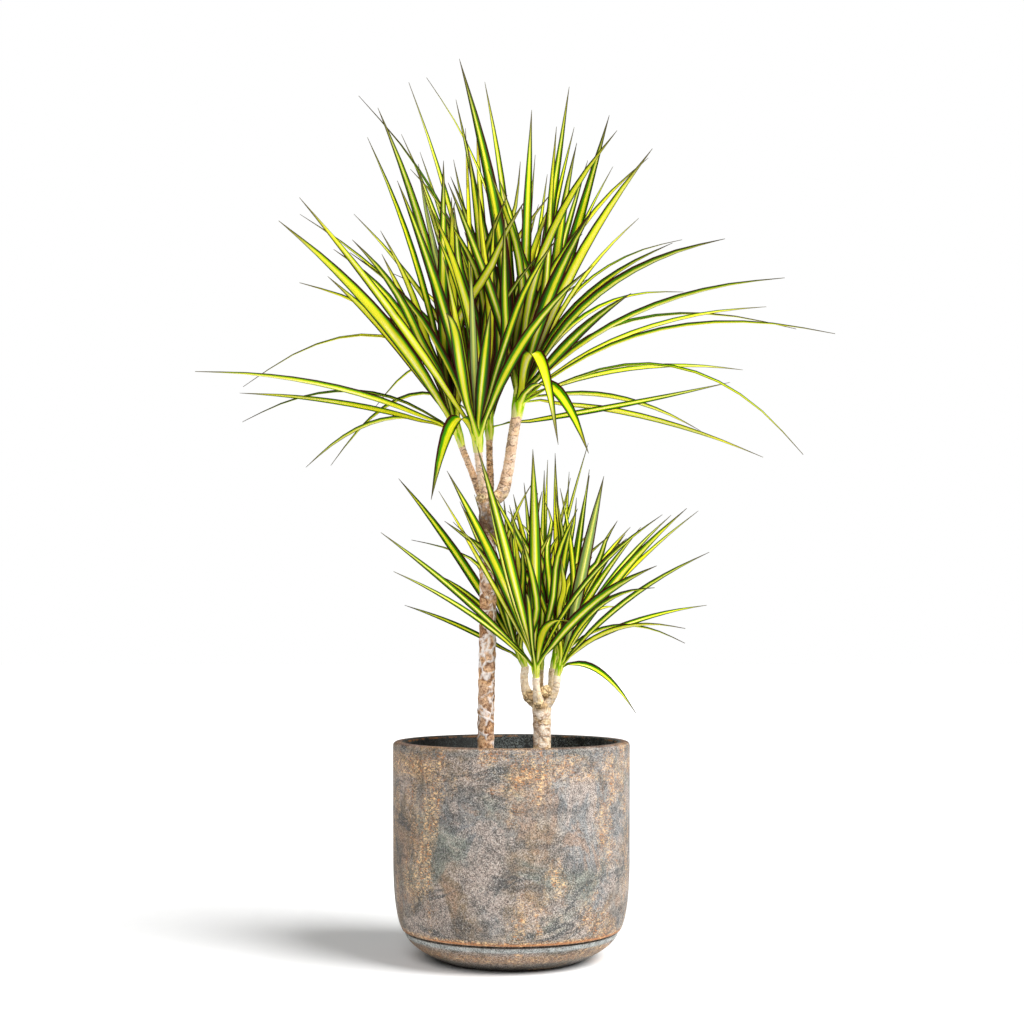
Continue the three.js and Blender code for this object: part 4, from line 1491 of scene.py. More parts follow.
    def bend_clear(self) -> None:
        """Bends leaves until none crosses a leaf of another head, a cane or another shoot."""
        grow = self.growth
        owner = np.array(self.owner)
        leading = np.array(self.is_leading)
        first, second = np.triu_indices(len(owner), 1)
        segments = np.arange(len(self.stations) - 1)
        i, j = (grid.ravel() for grid in np.meshgrid(segments, segments, indexing="ij"))
        pair = {
            "a": np.repeat(first, len(i)), "b": np.repeat(second, len(i)),
            "i": np.tile(i, len(first)), "j": np.tile(j, len(first)),
        }
        same = owner[pair["a"]] == owner[pair["b"]]
        keep = ~same | ((pair["i"] > 0) & (pair["j"] > 0))
        pair = {key: values[keep] for key, values in pair.items()}
        same = same[keep]
        strength = np.where(same, grow.strength_within, grow.strength_between)
        alike = leading[pair["a"]] == leading[pair["b"]]
        uneven = np.where(leading[pair["a"]], grow.leading_share, 1 - grow.leading_share)
        give = np.where(alike, 0.5, uneven)
        for _ in range(grow.passes):
            self.frame_leaves()
            bend = np.zeros_like(self.points)
            worst = self.part_leaves(bend, pair, same, strength, give)
            worst = max(worst, self.clear_limbs(bend, owner))
            if worst < grow.settled:
                break
            self.points = self.points + bend
        self.frame_leaves()

    def part_leaves(self, bend: Array, pair: dict[str, Array], same: Array,
                    strength: Array, give: Array) -> float:
        """Pushes leaves apart wherever their blades come too close.

        Args:
            bend: The pending bends, which change.
            pair: The leaves a and b and the segments i and j of each pair.
            same: Whether both leaves are on one head.
            strength: How strongly each pair parts.
            give: The first leaf's share of the push.

        Returns:
            The most that two leaves of different heads lack.
        """
        middle = (self.points[:, 1:] + self.points[:, :-1]) / 2
        half = np.linalg.norm(self.points[:, 1:] - self.points[:, :-1], axis=-1) / 2
        a, b, i, j = pair["a"], pair["b"], pair["i"], pair["j"]
        gap = middle[a, i] - middle[b, j]
        near = np.flatnonzero(np.sum(gap * gap, axis=-1) <= (half[a, i] + half[b, j] + 20) ** 2)
        a, b, i, j = a[near], b[near], i[near], j[near]
        s, t, distance, away = self.approach(self.points[a, i], self.points[a, i + 1],
                                             self.points[b, j], self.points[b, j + 1])
        needed = self.reach(a, i, away) + self.reach(b, j, away) + self.growth.margin
        lack = needed - distance
        short = lack > 0
        near, a, b, i, j, s, t, away, lack = (
            values[short] for values in (near, a, b, i, j, s, t, away, lack))
        share_a = self.stations[i] + (self.stations[i + 1] - self.stations[i]) * s
        share_b = self.stations[j] + (self.stations[j + 1] - self.stations[j]) * t
        size = lack * strength[near]
        self.swing(bend, a, share_a, away * (size * give[near])[:, None])
        self.swing(bend, b, share_b, -away * (size * (1 - give[near]))[:, None])
        others = lack[~same[near]]
        return float(others.max()) if len(others) else 0.0

    def clear_limbs(self, bend: Array, owner: Array) -> float:
        """Pushes leaves clear of the canes, the branches and the other shoots.

        Args:
            bend: The pending bends, which change.
            owner: The head's number of each leaf.

        Returns:
            The most that a leaf lacks.
        """
        limbs = self.limbs
        grids = np.meshgrid(np.arange(len(owner)), np.arange(len(self.stations) - 1),
                            np.arange(len(limbs["owner"])), indexing="ij")
        leaf, i, limb = (grid.ravel() for grid in grids)
        middle = (self.points[leaf, i] + self.points[leaf, i + 1]) / 2
        half = np.linalg.norm(self.points[leaf, i + 1] - self.points[leaf, i], axis=-1) / 2
        length = np.linalg.norm(limbs["end"] - limbs["start"], axis=-1)[limb]
        apart = np.linalg.norm(middle - limbs["start"][limb], axis=-1)
        near = (limbs["owner"][limb] != owner[leaf]) & (apart <= half + length + 30)
        leaf, i, limb = leaf[near], i[near], limb[near]
        s, _, distance, away = self.approach(self.points[leaf, i], self.points[leaf, i + 1],
                                             limbs["start"][limb], limbs["end"][limb])
        lack = self.reach(leaf, i, away) + limbs["radius"][limb] + self.growth.margin - distance
        short = lack > 0
        leaf, i, s, away, lack = (values[short] for values in (leaf, i, s, away, lack))
        share = self.stations[i] + (self.stations[i + 1] - self.stations[i]) * s
        self.swing(bend, leaf, share, away * (lack * self.growth.strength_limb)[:, None])
        return float(lack.max()) if len(lack) else 0.0

    def leaves_of(self, head: Head) -> list[Leaf]:
        """Lists a head's leaves, from the lowest root to the highest.

        Args:
            head: The head.

        Returns:
            The leaves.
        """
        number = self.heads.index(head)
        rows = [k for k, owner in enumerate(self.owner) if owner == number]
        spread = random_values(900 + head.seed)
        return [Leaf(head, self.points[k], self.edges[k], self.crowd_shade[k], self.widths[k], self.roots[k],
                     self.outwards[k], next(spread)) for k in rows]

    def crowding(self, reach: float = 0.09, open_crowd: float = 2.5, full_crowd: float = 20.0) -> Array:
        """Works out the painted shade of each leaf, from 0 to 1: how deep among the others it lies.

        Args:
            reach: How far off a leaf still counts, as a share of a long leaf's usual length.
            open_crowd: The crowd of neighbours that still lets in all the light.
            full_crowd: The crowd that lets in none.

        Returns:
            One row for each leaf, with a value for each point of its midrib.
        """
        count = len(self.points)
        shares = np.linspace(0.1, 1.0, 10)
        samples = np.array([[np.interp(shares, self.stations, leaf[:, k]) for k in range(3)]
                            for leaf in self.points]).transpose(0, 2, 1)
        gap = self.points[:, :, None, None, :] - samples[None, None, :, :, :]
        length = np.array([self.heads[k].length for k in self.owner])
        spread = reach * length * np.sqrt(length / length.max())
        weight = np.exp(-np.sum(gap * gap, axis=-1) / (spread ** 2)[:, None, None, None]).sum(axis=-1)
        weight[np.arange(count), :, np.arange(count)] = 0.0
        crowd = weight.sum(axis=-1)
        inner = np.array([root / self.heads[k].height for root, k in zip(self.roots, self.owner)])
        # Leaves rooted higher on the shoot take more of the painted shade.
        young = 0.15 + 0.85 * smooth_step(inner, self.growth.lowest_root, 0.7)
        return smooth_step(crowd, open_crowd, full_crowd) * young[:, None]


# Pieces


@dataclass
class Pot:
    """The pot: a rounded foot, a groove, a near-straight body and a soft rim."""

    radius: float = 120.0
    height: float = 216.0
    lean_in: float = 0.8
    rim_width: float = 13.0
    rim_rounding: float = 4.0
    rim_inner_rounding: float = 2.5
    foot_flat: float = 71.0
    foot_radius: float = 107.0
    foot_height: float = 26.0
    foot_bulge: Pair = (102.0, 13.0)
    ledge_step: float = 2.0
    ledge_chamfer: float = 0.5
    groove_height: float = 2.2
    groove_depth: float = 3.0
    underside_bulge: Pair = (1.0, 14.0)
    shoulder: float = 95.0
    lining_waist: float = 120.0
    floor_height: float = 20.0
    floor_radius: float = 90.0
    floor_chamfer: float = 6.0
    steps: int = 144
    finish: WeatheredPotFinish = field(default_factory=WeatheredPotFinish)

    @staticmethod
    def arc(centre: Pair, radius: float, start: float, end: float, count: int) -> list[Pair]:
        """Lists points on an arc of the profile.

        Args:
            centre: The radius and height of its centre.
            radius: Its own radius.
            start: The angle at which it starts, in degrees.
            end: The angle at which it ends.
            count: How many steps it has.

        Returns:
            The radius and height of each point.
        """
        angles = np.radians(np.linspace(start, end, count + 1))
        return [(centre[0] + radius * math.cos(a), centre[1] + radius * math.sin(a)) for a in angles]

    @staticmethod
    def bow(start: Pair, turn: Pair, end: Pair, count: int = 14) -> list[Pair]:
        """Lists points on a curve of the profile.

        Args:
            start: The radius and height at which it starts.
            turn: The point that it bends towards.
            end: The point at which it ends.
            count: How many steps it has.

        Returns:
            The radius and height of each point.
        """
        t = np.linspace(0, 1, count + 1)[:, None]
        curve = (1 - t) ** 2 * np.array(start) + 2 * t * (1 - t) * np.array(turn) + t ** 2 * np.array(end)
        return [tuple(point) for point in curve]

    def inner_radius(self, height: float) -> float:
        """Works out the inner wall's radius.

        Args:
            height: A height above the floor's chamfer.

        Returns:
            The radius there.
        """
        low = self.floor_height + self.floor_chamfer
        share = (height - low) / (self.height - self.rim_inner_rounding - low)
        start = self.floor_radius + self.floor_chamfer
        return start + (self.radius - self.rim_width - start) * share

    def profile(self) -> list[Pair]:
        """Draws the pot's profile, from the middle of the foot round to the inner floor.

        Returns:
            The radius and height of each point.
        """
        foot = self.foot_radius
        ledge = self.foot_height + self.ledge_step
        bottom = ledge + self.groove_height
        wall = self.radius - self.lean_in
        foot_curve = self.bow((self.foot_flat, 0), self.foot_bulge, (foot, self.foot_height))
        bulge_in, bulge_up = self.underside_bulge
        underside = self.bow((foot + self.groove_depth, bottom), (wall - bulge_in, bottom + bulge_up),
                             (wall, self.shoulder))
        inner = self.radius - self.rim_width
        outer_arc = self.arc((self.radius - self.rim_rounding, self.height - self.rim_rounding),
                             self.rim_rounding, 0, 90, 8)
        inner_arc = self.arc((inner + self.rim_inner_rounding, self.height - self.rim_inner_rounding),
                             self.rim_inner_rounding, 90, 180, 6)
        wall_height = self.height - self.rim_rounding - self.shoulder
        wall_points = [(wall + self.lean_in * share, self.shoulder + wall_height * share)
                       for share in (0.25, 0.5, 0.75)]
        return [
            (0, 0), (self.foot_flat * 0.5, 0),
            *foot_curve,
            (foot, ledge - self.ledge_chamfer), (foot - self.ledge_chamfer, ledge),
            (foot - self.groove_depth, ledge + 0.4), (foot - self.groove_depth, bottom),
            (foot + self.groove_depth - 1.0, bottom),
            *underside,
            *wall_points, *outer_arc, *inner_arc,
            (self.inner_radius(self.lining_waist), self.lining_waist),
            (self.floor_radius + self.floor_chamfer, self.floor_height + self.floor_chamfer),
            (self.floor_radius, self.floor_height), (0, self.floor_height),
        ]

    def build(self) -> Piece:
        """Builds the pot and dresses it.

        Returns:
            The pot.
        """
        piece = turn_profile("pot_shell", self.profile(), self.steps)
        smooth_faces(piece, 38)
        dress(piece, self.finish.material(), Slot.POT, "pot")
        return piece


@dataclass
class Soil:
    """The soil: it fills the pot, with a crumbly top and a plain hole for each cane."""

    pot: Pot
    top: float = 182.0
    gap: float = 0.3
    bump: float = 1.8
    clod: float = 1.3
    rings: int = 26
    steps: int = 96
    crumbs: int = 420
    crumb_size: float = 2.1
    seed: int = 5
    finish: SoilFinish = field(default_factory=SoilFinish)

    def build(self) -> Piece:
        """Builds the soil and dresses it.

        Returns:
            The soil.
        """
        edge = self.pot.inner_radius(self.top) - self.gap
        low = self.pot.floor_height + self.gap
        chamfer = self.pot.floor_chamfer
        profile = [
            (0, low), (self.pot.floor_radius - self.gap, low),
            (self.pot.floor_radius + chamfer - self.gap, low + chamfer),
            *[(edge * ring / self.rings, self.top) for ring in range(self.rings, -1, -1)],
        ]
        piece = turn_profile("soil_bed", profile, self.steps)
        self.roughen(piece, edge)
        for cane in CANES:
            self.cut_hole(piece, cane)
        join_pieces(piece, self.scatter_crumbs(edge))
        smooth_faces(piece, 50)
        dress(piece, self.finish.material(), Slot.SOIL, "soil")
        return piece

    def surface(self, x: Array, y: Array) -> Array:
        """Works out the swell of the soil's surface.

        Args:
            x: The places along X, in millimetres.
            y: The places along Y.

        Returns:
            How far the surface stands above its level, in millimetres.
        """
        coarse = np.sin(0.071 * x + 1.3) * np.cos(0.083 * y - 0.4)
        fine = np.sin(0.23 * x - 0.17 * y) * np.cos(0.19 * x + 0.27 * y + 2)
        return self.bump * (0.6 * coarse + 0.5 * fine)

    def roughen(self, piece: Piece, edge: float) -> None:
        """Raises clods on the top, which stay inside the pot's wall.

        Args:
            piece: The turned soil.
            edge: The radius of its top.
        """
        points = read_points(piece)
        on_top = np.abs(points[:, 2] - self.top * MM) < 0.2 * MM
        inside = np.hypot(points[:, 0], points[:, 1]) < (edge - 1) * MM
        for k in np.flatnonzero(on_top & inside):
            x, y = points[k, 0] / MM, points[k, 1] / MM
            rough = noise.fractal(Vector((x * 0.13, y * 0.13, 3.0)), 0.8, 2.1, 4)
            points[k, 2] += (float(self.surface(x, y)) + self.clod * rough) * MM
        write_points(piece, points)

    def cut_hole(self, piece: Piece, cane: Cane) -> None:
        """Cuts the hole that a cane stands in.

        Args:
            piece: The soil.
            cane: The cane.
        """
        x, y, low, radius = cane.trunk.route[0]
        deselect_all()
        depth = (self.top + 20 - low) * MM
        bpy.ops.mesh.primitive_cylinder_add(
            vertices=40, radius=(radius + 3 * self.gap) * MM, depth=depth,
            location=(x * MM, y * MM, (low - self.gap) * MM + depth / 2))
        cutter = name_new("hole_cutter")
        apply_modifier(piece, "BOOLEAN", operation="DIFFERENCE", object=cutter, solver="EXACT")
        bpy.data.objects.remove(cutter)

    def scatter_crumbs(self, edge: float) -> list[Piece]:
        """Models one crumb and strews copies of it over the soil.

        Args:
            edge: The radius of the soil's top.

        Returns:
            The strewn crumbs.
        """
        deselect_all()
        bpy.ops.mesh.primitive_ico_sphere_add(subdivisions=1, radius=self.crumb_size * MM)
        crumb = name_new("crumb")
        shape = read_points(crumb)
        random = np.random.default_rng(self.seed)
        write_points(crumb, shape * random.uniform(0.75, 1.2, shape.shape))
        strewn = []
        while len(strewn) < self.crumbs:
            x, y = random.uniform(-edge, edge, 2)
            clear = all(math.dist((x, y), c.trunk.route[0][:2]) > c.trunk.route[0][3] + 3 for c in CANES)
            if math.hypot(x, y) > edge - 3 or not clear:
                continue
            twin = copy_piece(crumb, "crumb_copy")
            turn = Matrix.Rotation(random.uniform(0, math.tau), 4, Vector(random.normal(size=3)))
            size = Matrix.Diagonal((*(random.uniform(0.5, 1.5) * random.uniform(0.6, 1.2, 3)), 1))
            height = self.top + float(self.surface(x, y)) + 0.4
            twin.data.transform(Matrix.Translation(Vector((x, y, height)) * MM) @ turn @ size)
            strewn.append(twin)
        bpy.data.objects.remove(crumb)
        return strewn


@dataclass
class CanePiece:
    """One cane with its scarred bark, its branches and the lumps of its fork."""

    cane: Cane
    heads: Sequence[Head]
    bark: BarkFinish
    slot: Slot
    sides: int = 48
    row_step: float = 1.6
    relief: float = 0.34
    scars_around: int = 2
    scar_rise: float = 14.0
    ring_rise: float = 3.6
    branch_turn: float = 0.31
    branch_overlap: float = 1.5

    def build(self) -> Piece:
        """Builds the cane and dresses it.

        Returns:
            The cane.
        """
        piece = self.make_limb(self.cane.name + "_bark", self.cane.trunk, self.cane.trunk.route, 0.0, UP)
        for number, (name, limb) in enumerate(self.cane.branches.items()):
            head = next(h for h in self.heads if h.name == name)
            end = np.array(head.foot) + head.axis * self.branch_overlap
            route = (*limb.route, (*end, limb.route[-1][3]))
            turn = self.branch_turn * (number + 1)
            self.fuse(piece, self.make_limb(name + "_branch", limb, route, turn, head.axis))
        for number, knob in enumerate(self.cane.knobs):
            self.fuse(piece, self.make_knob(knob, number))
        smooth_faces(piece, 60)
        dress(piece, self.bark.material(), self.slot, self.cane.name)
        return piece

    def scars(self, around: Array, along: Array, ringed: float) -> Array:
        """Works out the bark's relief.

        Args:
            around: The share of the way round the limb.
            along: The distance along it, in millimetres.
            ringed: How far rings take the place of the net.

        Returns:
            How far the bark stands out, in millimetres.
        """
        rows = along / self.scar_rise
        up = around * self.scars_around + rows
        down = around * self.scars_around - rows
        net = np.minimum(np.abs(up - np.round(up)), np.abs(down - np.round(down)))
        step = along / self.ring_rise + 0.5 * np.sin(along * 0.23) + 0.3 * np.sin(around * math.tau)
        ring = np.abs(step - np.round(step))
        near = net + (0.5 - ring - net) * ringed
        lumps = np.sin(around * math.tau * 2 + along * 0.31) * np.sin(around * math.tau * 3 - along * 0.17)
        depth = self.relief * (1 - 0.6 * ringed)
        return depth * (1 - 2 * smooth_step(near, 0.06, 0.3)) + 0.22 * lumps

    def make_limb(self, name: str, limb: Limb, route: Sequence[Sequence[float]], offset: float,
                  end_axis: Array) -> Piece:
        """Models a straight scarred bar and bends it along a route.

        Args:
            name: The new piece's name.
            limb: The limb, for the look of its bark.
            route: The route of [x, y, z, radius].
            offset: A share of a turn that keeps the scars of two limbs apart.
            end_axis: The way that the far end faces.

        Returns:
            The limb.
        """
        rows = np.array(route, dtype=float)
        steps = np.linalg.norm(np.diff(rows[:, :3], axis=0), axis=1)
        knots = np.concatenate(((0.0,), np.cumsum(steps)))
        count = max(4, round(knots[-1] / self.row_step))
        piece = straight_bar(name, self.sides, count)
        points = read_points(piece)
        row = np.round((points[:, 2] + 0.5) * count).astype(int)
        places = np.linspace(0, knots[-1], count + 1)
        line = curve_through(knots, rows, places)
        along = unit(np.gradient(line[:, :3], axis=0))
        along[-1] = end_axis
        across = unit(np.array((1.0, 0.0, 0.0)) - along * along[:, :1])
        other = np.cross(along, across)
        angle = np.arctan2(points[:, 1], points[:, 0])
        around = (angle / math.tau + offset) % 1.0
        on_wall = np.hypot(points[:, 0], points[:, 1]) > 0.5
        radius = np.where(on_wall, line[row, 3] + self.scars(around, places[row], limb.ringed), 0.0)
        bent = line[row, :3] + across[row] * (radius * np.cos(angle))[:, None]
        bent = bent + other[row] * (radius * np.sin(angle))[:, None]
        self.chart_bark(piece, limb.pale, limb.brown, limb.ringed)
        write_points(piece, bent * MM)
        return piece

    @staticmethod
    def chart_bark(piece: Piece, pale: float, brown: float, ringed: float) -> None:
        """Writes the maps that the bark's material reads.

        Args:
            piece: A limb or a lump.
            pale: How pale it is, partly as painted light.
            brown: How brown it is, partly as painted shade; a lump is nearly 1.
            ringed: How far rings take the place of the net.
        """
        corners = len(piece.data.loops)
        write_chart(piece, "limb", np.tile((pale, brown), (corners, 1)))
        write_chart(piece, "scars", np.tile((ringed, 0.0), (corners, 1)))

    def make_knob(self, knob: Knob, number: int) -> Piece:
        """Models one woody lump.

        Args:
            knob: Its place and size.
            number: Its number, which varies its shape.

        Returns:
            The lump.
        """
        deselect_all()
        bpy.ops.mesh.primitive_ico_sphere_add(subdivisions=4, radius=1)
        piece = name_new("knob")
        points = read_points(piece)
        for k, point in enumerate(points):
            swell = noise.fractal(Vector(point) * 1.6 + Vector((number * 7.0, 0, 0)), 0.7, 2.2, 4)
            points[k] = point * (1 + 0.22 * swell)
        drop_charts(piece)
        self.chart_bark(piece, 0.0, 0.95, 1.0)
        write_points(piece, (points * knob.radius + np.array(knob.place)) * MM)
        return piece

    @staticmethod
    def fuse(piece: Piece, other: Piece) -> None:
        """Fuses another closed piece into a piece, and removes it.

        Args:
            piece: The piece that stays.
            other: The piece that it takes in.
        """
        apply_modifier(piece, "BOOLEAN", operation="UNION", object=other, solver="MANIFOLD")
        bpy.data.objects.remove(other)


@dataclass
class Blade:
    """The pattern of every leaf: a flat strip that each copy bends to its own curve."""

    strips: int = 4
    rows: int = 15
    sheath_rows: int = 3

    def build(self) -> Piece:
        """Models the flat strip, 2 wide and 2 long, with an underside 1 below.

        Returns:
            The strip, whose x is the place across, y the place along and z the side.
        """
        deselect_all()
        bpy.ops.mesh.primitive_grid_add(x_subdivisions=self.strips, y_subdivisions=self.rows, size=2)
        piece = name_new("blade_pattern")
        piece.data.uv_layers[0].name = "blade"
        apply_modifier(piece, "SOLIDIFY", thickness=1.0, offset=-1.0, use_even_offset=False)
        return piece


@dataclass
class LeafHead:
    """One head of leaves: a shoot wrapped in leaf bases, and every leaf of the head."""

    head: Head
    leaves: Sequence[Leaf]
    growth: Growth
    blade: Blade
    pattern: Piece
    channel: float = 0.42
    margin_thickness: float = 0.35
    rib_thickness: float = 1.0
    sheath_length: float = 13.0
    sheath_shoot: float = 46.0
    sheath_share: float = 0.07
    sheath_wrap: float = 62.0
    sheath_tuck: float = 1.1
    sheath_gap: float = 0.25

    def build(self, material: Material) -> Piece:
        """Builds the head and dresses it.

        Args:
            material: The leaves' material.

        Returns:
            The head.
        """
        shoot = self.make_shoot()
        copies = [self.make_leaf(leaf, number) for number, leaf in enumerate(self.leaves)]
        piece = join_pieces(shoot, copies)
        smooth_faces(piece, 50)
        dress(piece, material, Slot.LEAF, self.head.name)
        return piece

    def midrib(self, leaf: Leaf) -> tuple[Array, Array]:
        """Lengthens a leaf's midrib down the shoot, where its base clasps it.

        Args:
            leaf: The leaf.

        Returns:
            The share of the leaf's length at each point, below 0 on the sheath, and the
            points themselves.
        """
        foot = np.array(self.head.foot, dtype=float)
        length = self.sheath_length * self.head.height / self.sheath_shoot
        rows = []
        for back in (1.0, 0.5, 0.0):
            height = max(leaf.root_height - back * length, 0.5)
            out = self.head.girth(height) + self.sheath_gap
            if back == 0.0:
                out = max(out, self.growth.root_offset * self.head.radius)
            rows.append(foot + self.head.axis * height + leaf.outward * out)
        rows[0] = rows[0] - leaf.outward * self.sheath_tuck
        shares = np.array((-self.sheath_share, -self.sheath_share / 2, *self.growth.stations))
        return shares, np.vstack((rows, leaf.points[1:]))

    def make_leaf(self, leaf: Leaf, number: int) -> Piece:
        """Copies the pattern and bends it to one leaf.

        Args:
            leaf: The leaf.
            number: Its number on the head.

        Returns:
            The leaf's own mesh.
        """
        twin = copy_piece(self.pattern, f"{self.head.name}_leaf_{number}")
        flat = read_points(twin)
        rows = self.blade.rows
        row = np.round((flat[:, 1] + 1) / 2 * rows).astype(int)
        side = np.clip(-flat[:, 2], 0, 1)
        t = self.row_shares()
        shares, points = self.midrib(leaf)
        centre = curve_through(shares, points, t)
        along = unit(np.gradient(centre, t, axis=0))
        edge, face = self.frames(leaf, t, along)
        half = self.half_width(leaf, t)
        clasp = 1 - smooth_step(t, -0.01, 0.13)
        a = flat[:, 0]
        x, rise = self.section(a, half[row], clasp[row], self.channel * (0.7 + 0.8 * leaf.number))
        taper = (1 - 0.55 * np.clip(t, 0, 1))[row]
        rib = (1 - np.abs(a)) ** 1.5
        thick = self.margin_thickness + (self.rib_thickness - self.margin_thickness) * rib
        thick = thick * taper * (1 - 0.5 * clasp[row])
        bent = centre[row] + edge[row] * x[:, None] + face[row] * (rise - side * thick)[:, None]
        write_points(twin, bent * MM)
        self.chart_leaf(twin, t[row], side, leaf.number)
        # The painted shade of the crowd, written to the map "shade".
        crowd_shade = np.interp(np.clip(t, 0, 1), self.growth.stations, leaf.crowd_shade)[row]
        crowd_shade = crowd_shade[corner_vertices(twin)]
        write_chart(twin, "shade", np.column_stack((crowd_shade, np.zeros(len(crowd_shade)))))
        return twin

    def row_shares(self) -> Array:
        """Spreads the pattern's rows over a leaf.

        Returns:
            The share of the leaf's length at each row, below 0 on the sheath.
        """
        sheath = np.linspace(-self.sheath_share, 0.0, self.blade.sheath_rows, endpoint=False)
        blade = np.linspace(0.0, 1.0, self.blade.rows + 1 - self.blade.sheath_rows)
        return np.concatenate((sheath, blade))

    def frames(self, leaf: Leaf, t: Array, along: Array) -> tuple[Array, Array]:
        """Turns a leaf's edges from round the shoot to where its blade faces.

        Args:
            leaf: The leaf.
            t: The share of the leaf's length at each row.
            along: The midrib's direction at each row.

        Returns:
            The edge and face directions at each row.
        """
        laid = curve_through(np.array(self.growth.stations), leaf.edges, np.clip(t, 0, 1))
        wrapped = unit(np.cross(leaf.outward, self.head.axis))
        held = (1 - smooth_step(t, -0.02, 0.22))[:, None]
        edge = wrapped * held + laid * (1 - held)
        twist = math.radians(14) * (leaf.number - 0.5) * np.clip(t, 0, 1) ** 2 * 4
        edge = unit(edge - along * dot(edge, along))
        face = np.cross(edge, along)
        edge = edge * np.cos(twist)[:, None] + face * np.sin(twist)[:, None]
        return edge, np.cross(edge, along)

    def half_width(self, leaf: Leaf, t: Array) -> Array:
        """Works out half the leaf's width.

        Args:
            leaf: The leaf.
            t: The share of the leaf's length at each row.

        Returns:
            Half the width at each row, in millimetres.
        """
        low = 0.45 + 0.55 * smooth_step(t, 0.0, 0.4)
        high = 1 - np.clip((t - 0.4) / 0.6, 0, 1) ** 1.9
        blade = 0.5 * leaf.width * np.where(t < 0.4, low, high)
        clasp = 1 - smooth_step(t, -0.02, 0.12)
        sheath = self.head.girth(leaf.root_height) * (0.30 + 0.42 * smooth_step(t, -0.075, -0.015))
        return np.maximum(blade * (1 - clasp) + np.maximum(sheath, blade) * clasp, 0.22)

    def section(self, a: Array, half: Array, clasp: Array, channel: float) -> tuple[Array, Array]:
        """Shapes a leaf's section: a clasping curve at its foot, then an open V.

        Args:
            a: The place across, from -1 to 1.
            half: Half the width.
            clasp: How much of the clasping curve shows.
            channel: How deep the V is, as a share of half the width.

        Returns:
            The place across and the rise above the midrib, in millimetres.
        """
        wrap = math.radians(self.sheath_wrap)
        round_x = half * np.sin(a * wrap) / math.sin(wrap)
        round_rise = half * (1 - np.cos(a * wrap)) / math.sin(wrap)
        open_x = half * a * (1 - 0.12 * channel)
        open_rise = half * channel * (np.abs(a) ** 1.35 - 0.35)
        return (open_x + (round_x - open_x) * clasp, open_rise + (round_rise - open_rise) * clasp)

    def chart_leaf(self, piece: Piece, share: Array, side: Array, number: float) -> None:
        """Writes the maps that the leaf's material reads.

        Args:
            piece: The leaf.
            share: The share of the leaf's length of each vertex.
            side: 0 on the upper face and 1 on the underside, for each vertex.
            number: The leaf's own number, from 0 to 1.
        """
        vertices = corner_vertices(piece)
        flat = np.empty(2 * len(vertices), dtype=np.float32)
        piece.data.uv_layers["blade"].data.foreach_get("uv", flat)
        across = flat.reshape(-1, 2)[:, 0]
        along = np.clip(share[vertices] * (1 - self.sheath_share) + self.sheath_share, 0, 1)
        write_chart(piece, "blade", np.column_stack((across, along)))
        own = np.full(len(vertices), number)
        write_chart(piece, "leaf", np.column_stack((own, side[vertices])))

    def make_shoot(self, sides: int = 24, rows: int = 12, wraps: int = 3) -> Piece:
        """Models the shoot, ridged by the leaf bases wrapped round it.

        Args:
            sides: How many faces go round it.
            rows: How many rows of faces it has.
            wraps: How many leaf bases go round it.

        Returns:
            The shoot.
        """
        piece = straight_bar(self.head.name + "_leaves", sides, rows)
        points = read_points(piece)
        share = points[:, 2] + 0.5
        angle = np.arctan2(points[:, 1], points[:, 0])
        on_wall = np.hypot(points[:, 0], points[:, 1]) > 0.5
        ridge = 1 + 0.05 * np.cos(wraps * angle)
        radius = np.where(on_wall, self.head.girth(share * self.head.height) * ridge, 0.0)
        axis = self.head.axis
        across = unit(np.array((1.0, 0.0, 0.0)) - axis * axis[0])
        other = np.cross(axis, across)
        bent = np.array(self.head.foot) + axis * (share * self.head.height)[:, None]
        bent = bent + across * (radius * np.cos(angle))[:, None] + other * (radius * np.sin(angle))[:, None]
        self.chart_shoot(piece, share, angle / math.tau, wraps)
        write_points(piece, bent * MM)
        return piece

    @staticmethod
    def chart_shoot(piece: Piece, share: Array, turn: Array, wraps: int) -> None:
        """Writes the maps of the shoot, which give each leaf base its own margins.

        Args:
            piece: The shoot, while it is still an upright bar.
            share: The share of the shoot's height of each vertex.
            turn: The share of a turn of each vertex.
            wraps: How many leaf bases go round the shoot.
        """
        vertices = corner_vertices(piece)
        centres = np.empty(3 * len(piece.data.polygons))
        piece.data.polygons.foreach_get("center", centres)
        middle = (np.arctan2(centres[1::3], centres[0::3]) / math.tau)[corner_faces(piece)]
        turn = turn[vertices]
        turn = (turn + np.round(middle - turn)) * wraps - np.floor(middle * wraps)
        across = 0.5 + (np.clip(turn, 0, 1) - 0.5) * 0.90
        write_chart(piece, "blade", np.column_stack((across, 0.02 + share[vertices] * 0.08)))
        write_chart(piece, "leaf", np.tile((0.4, 0.0), (len(vertices), 1)))
        write_chart(piece, "shade", np.zeros((len(vertices), 2)))


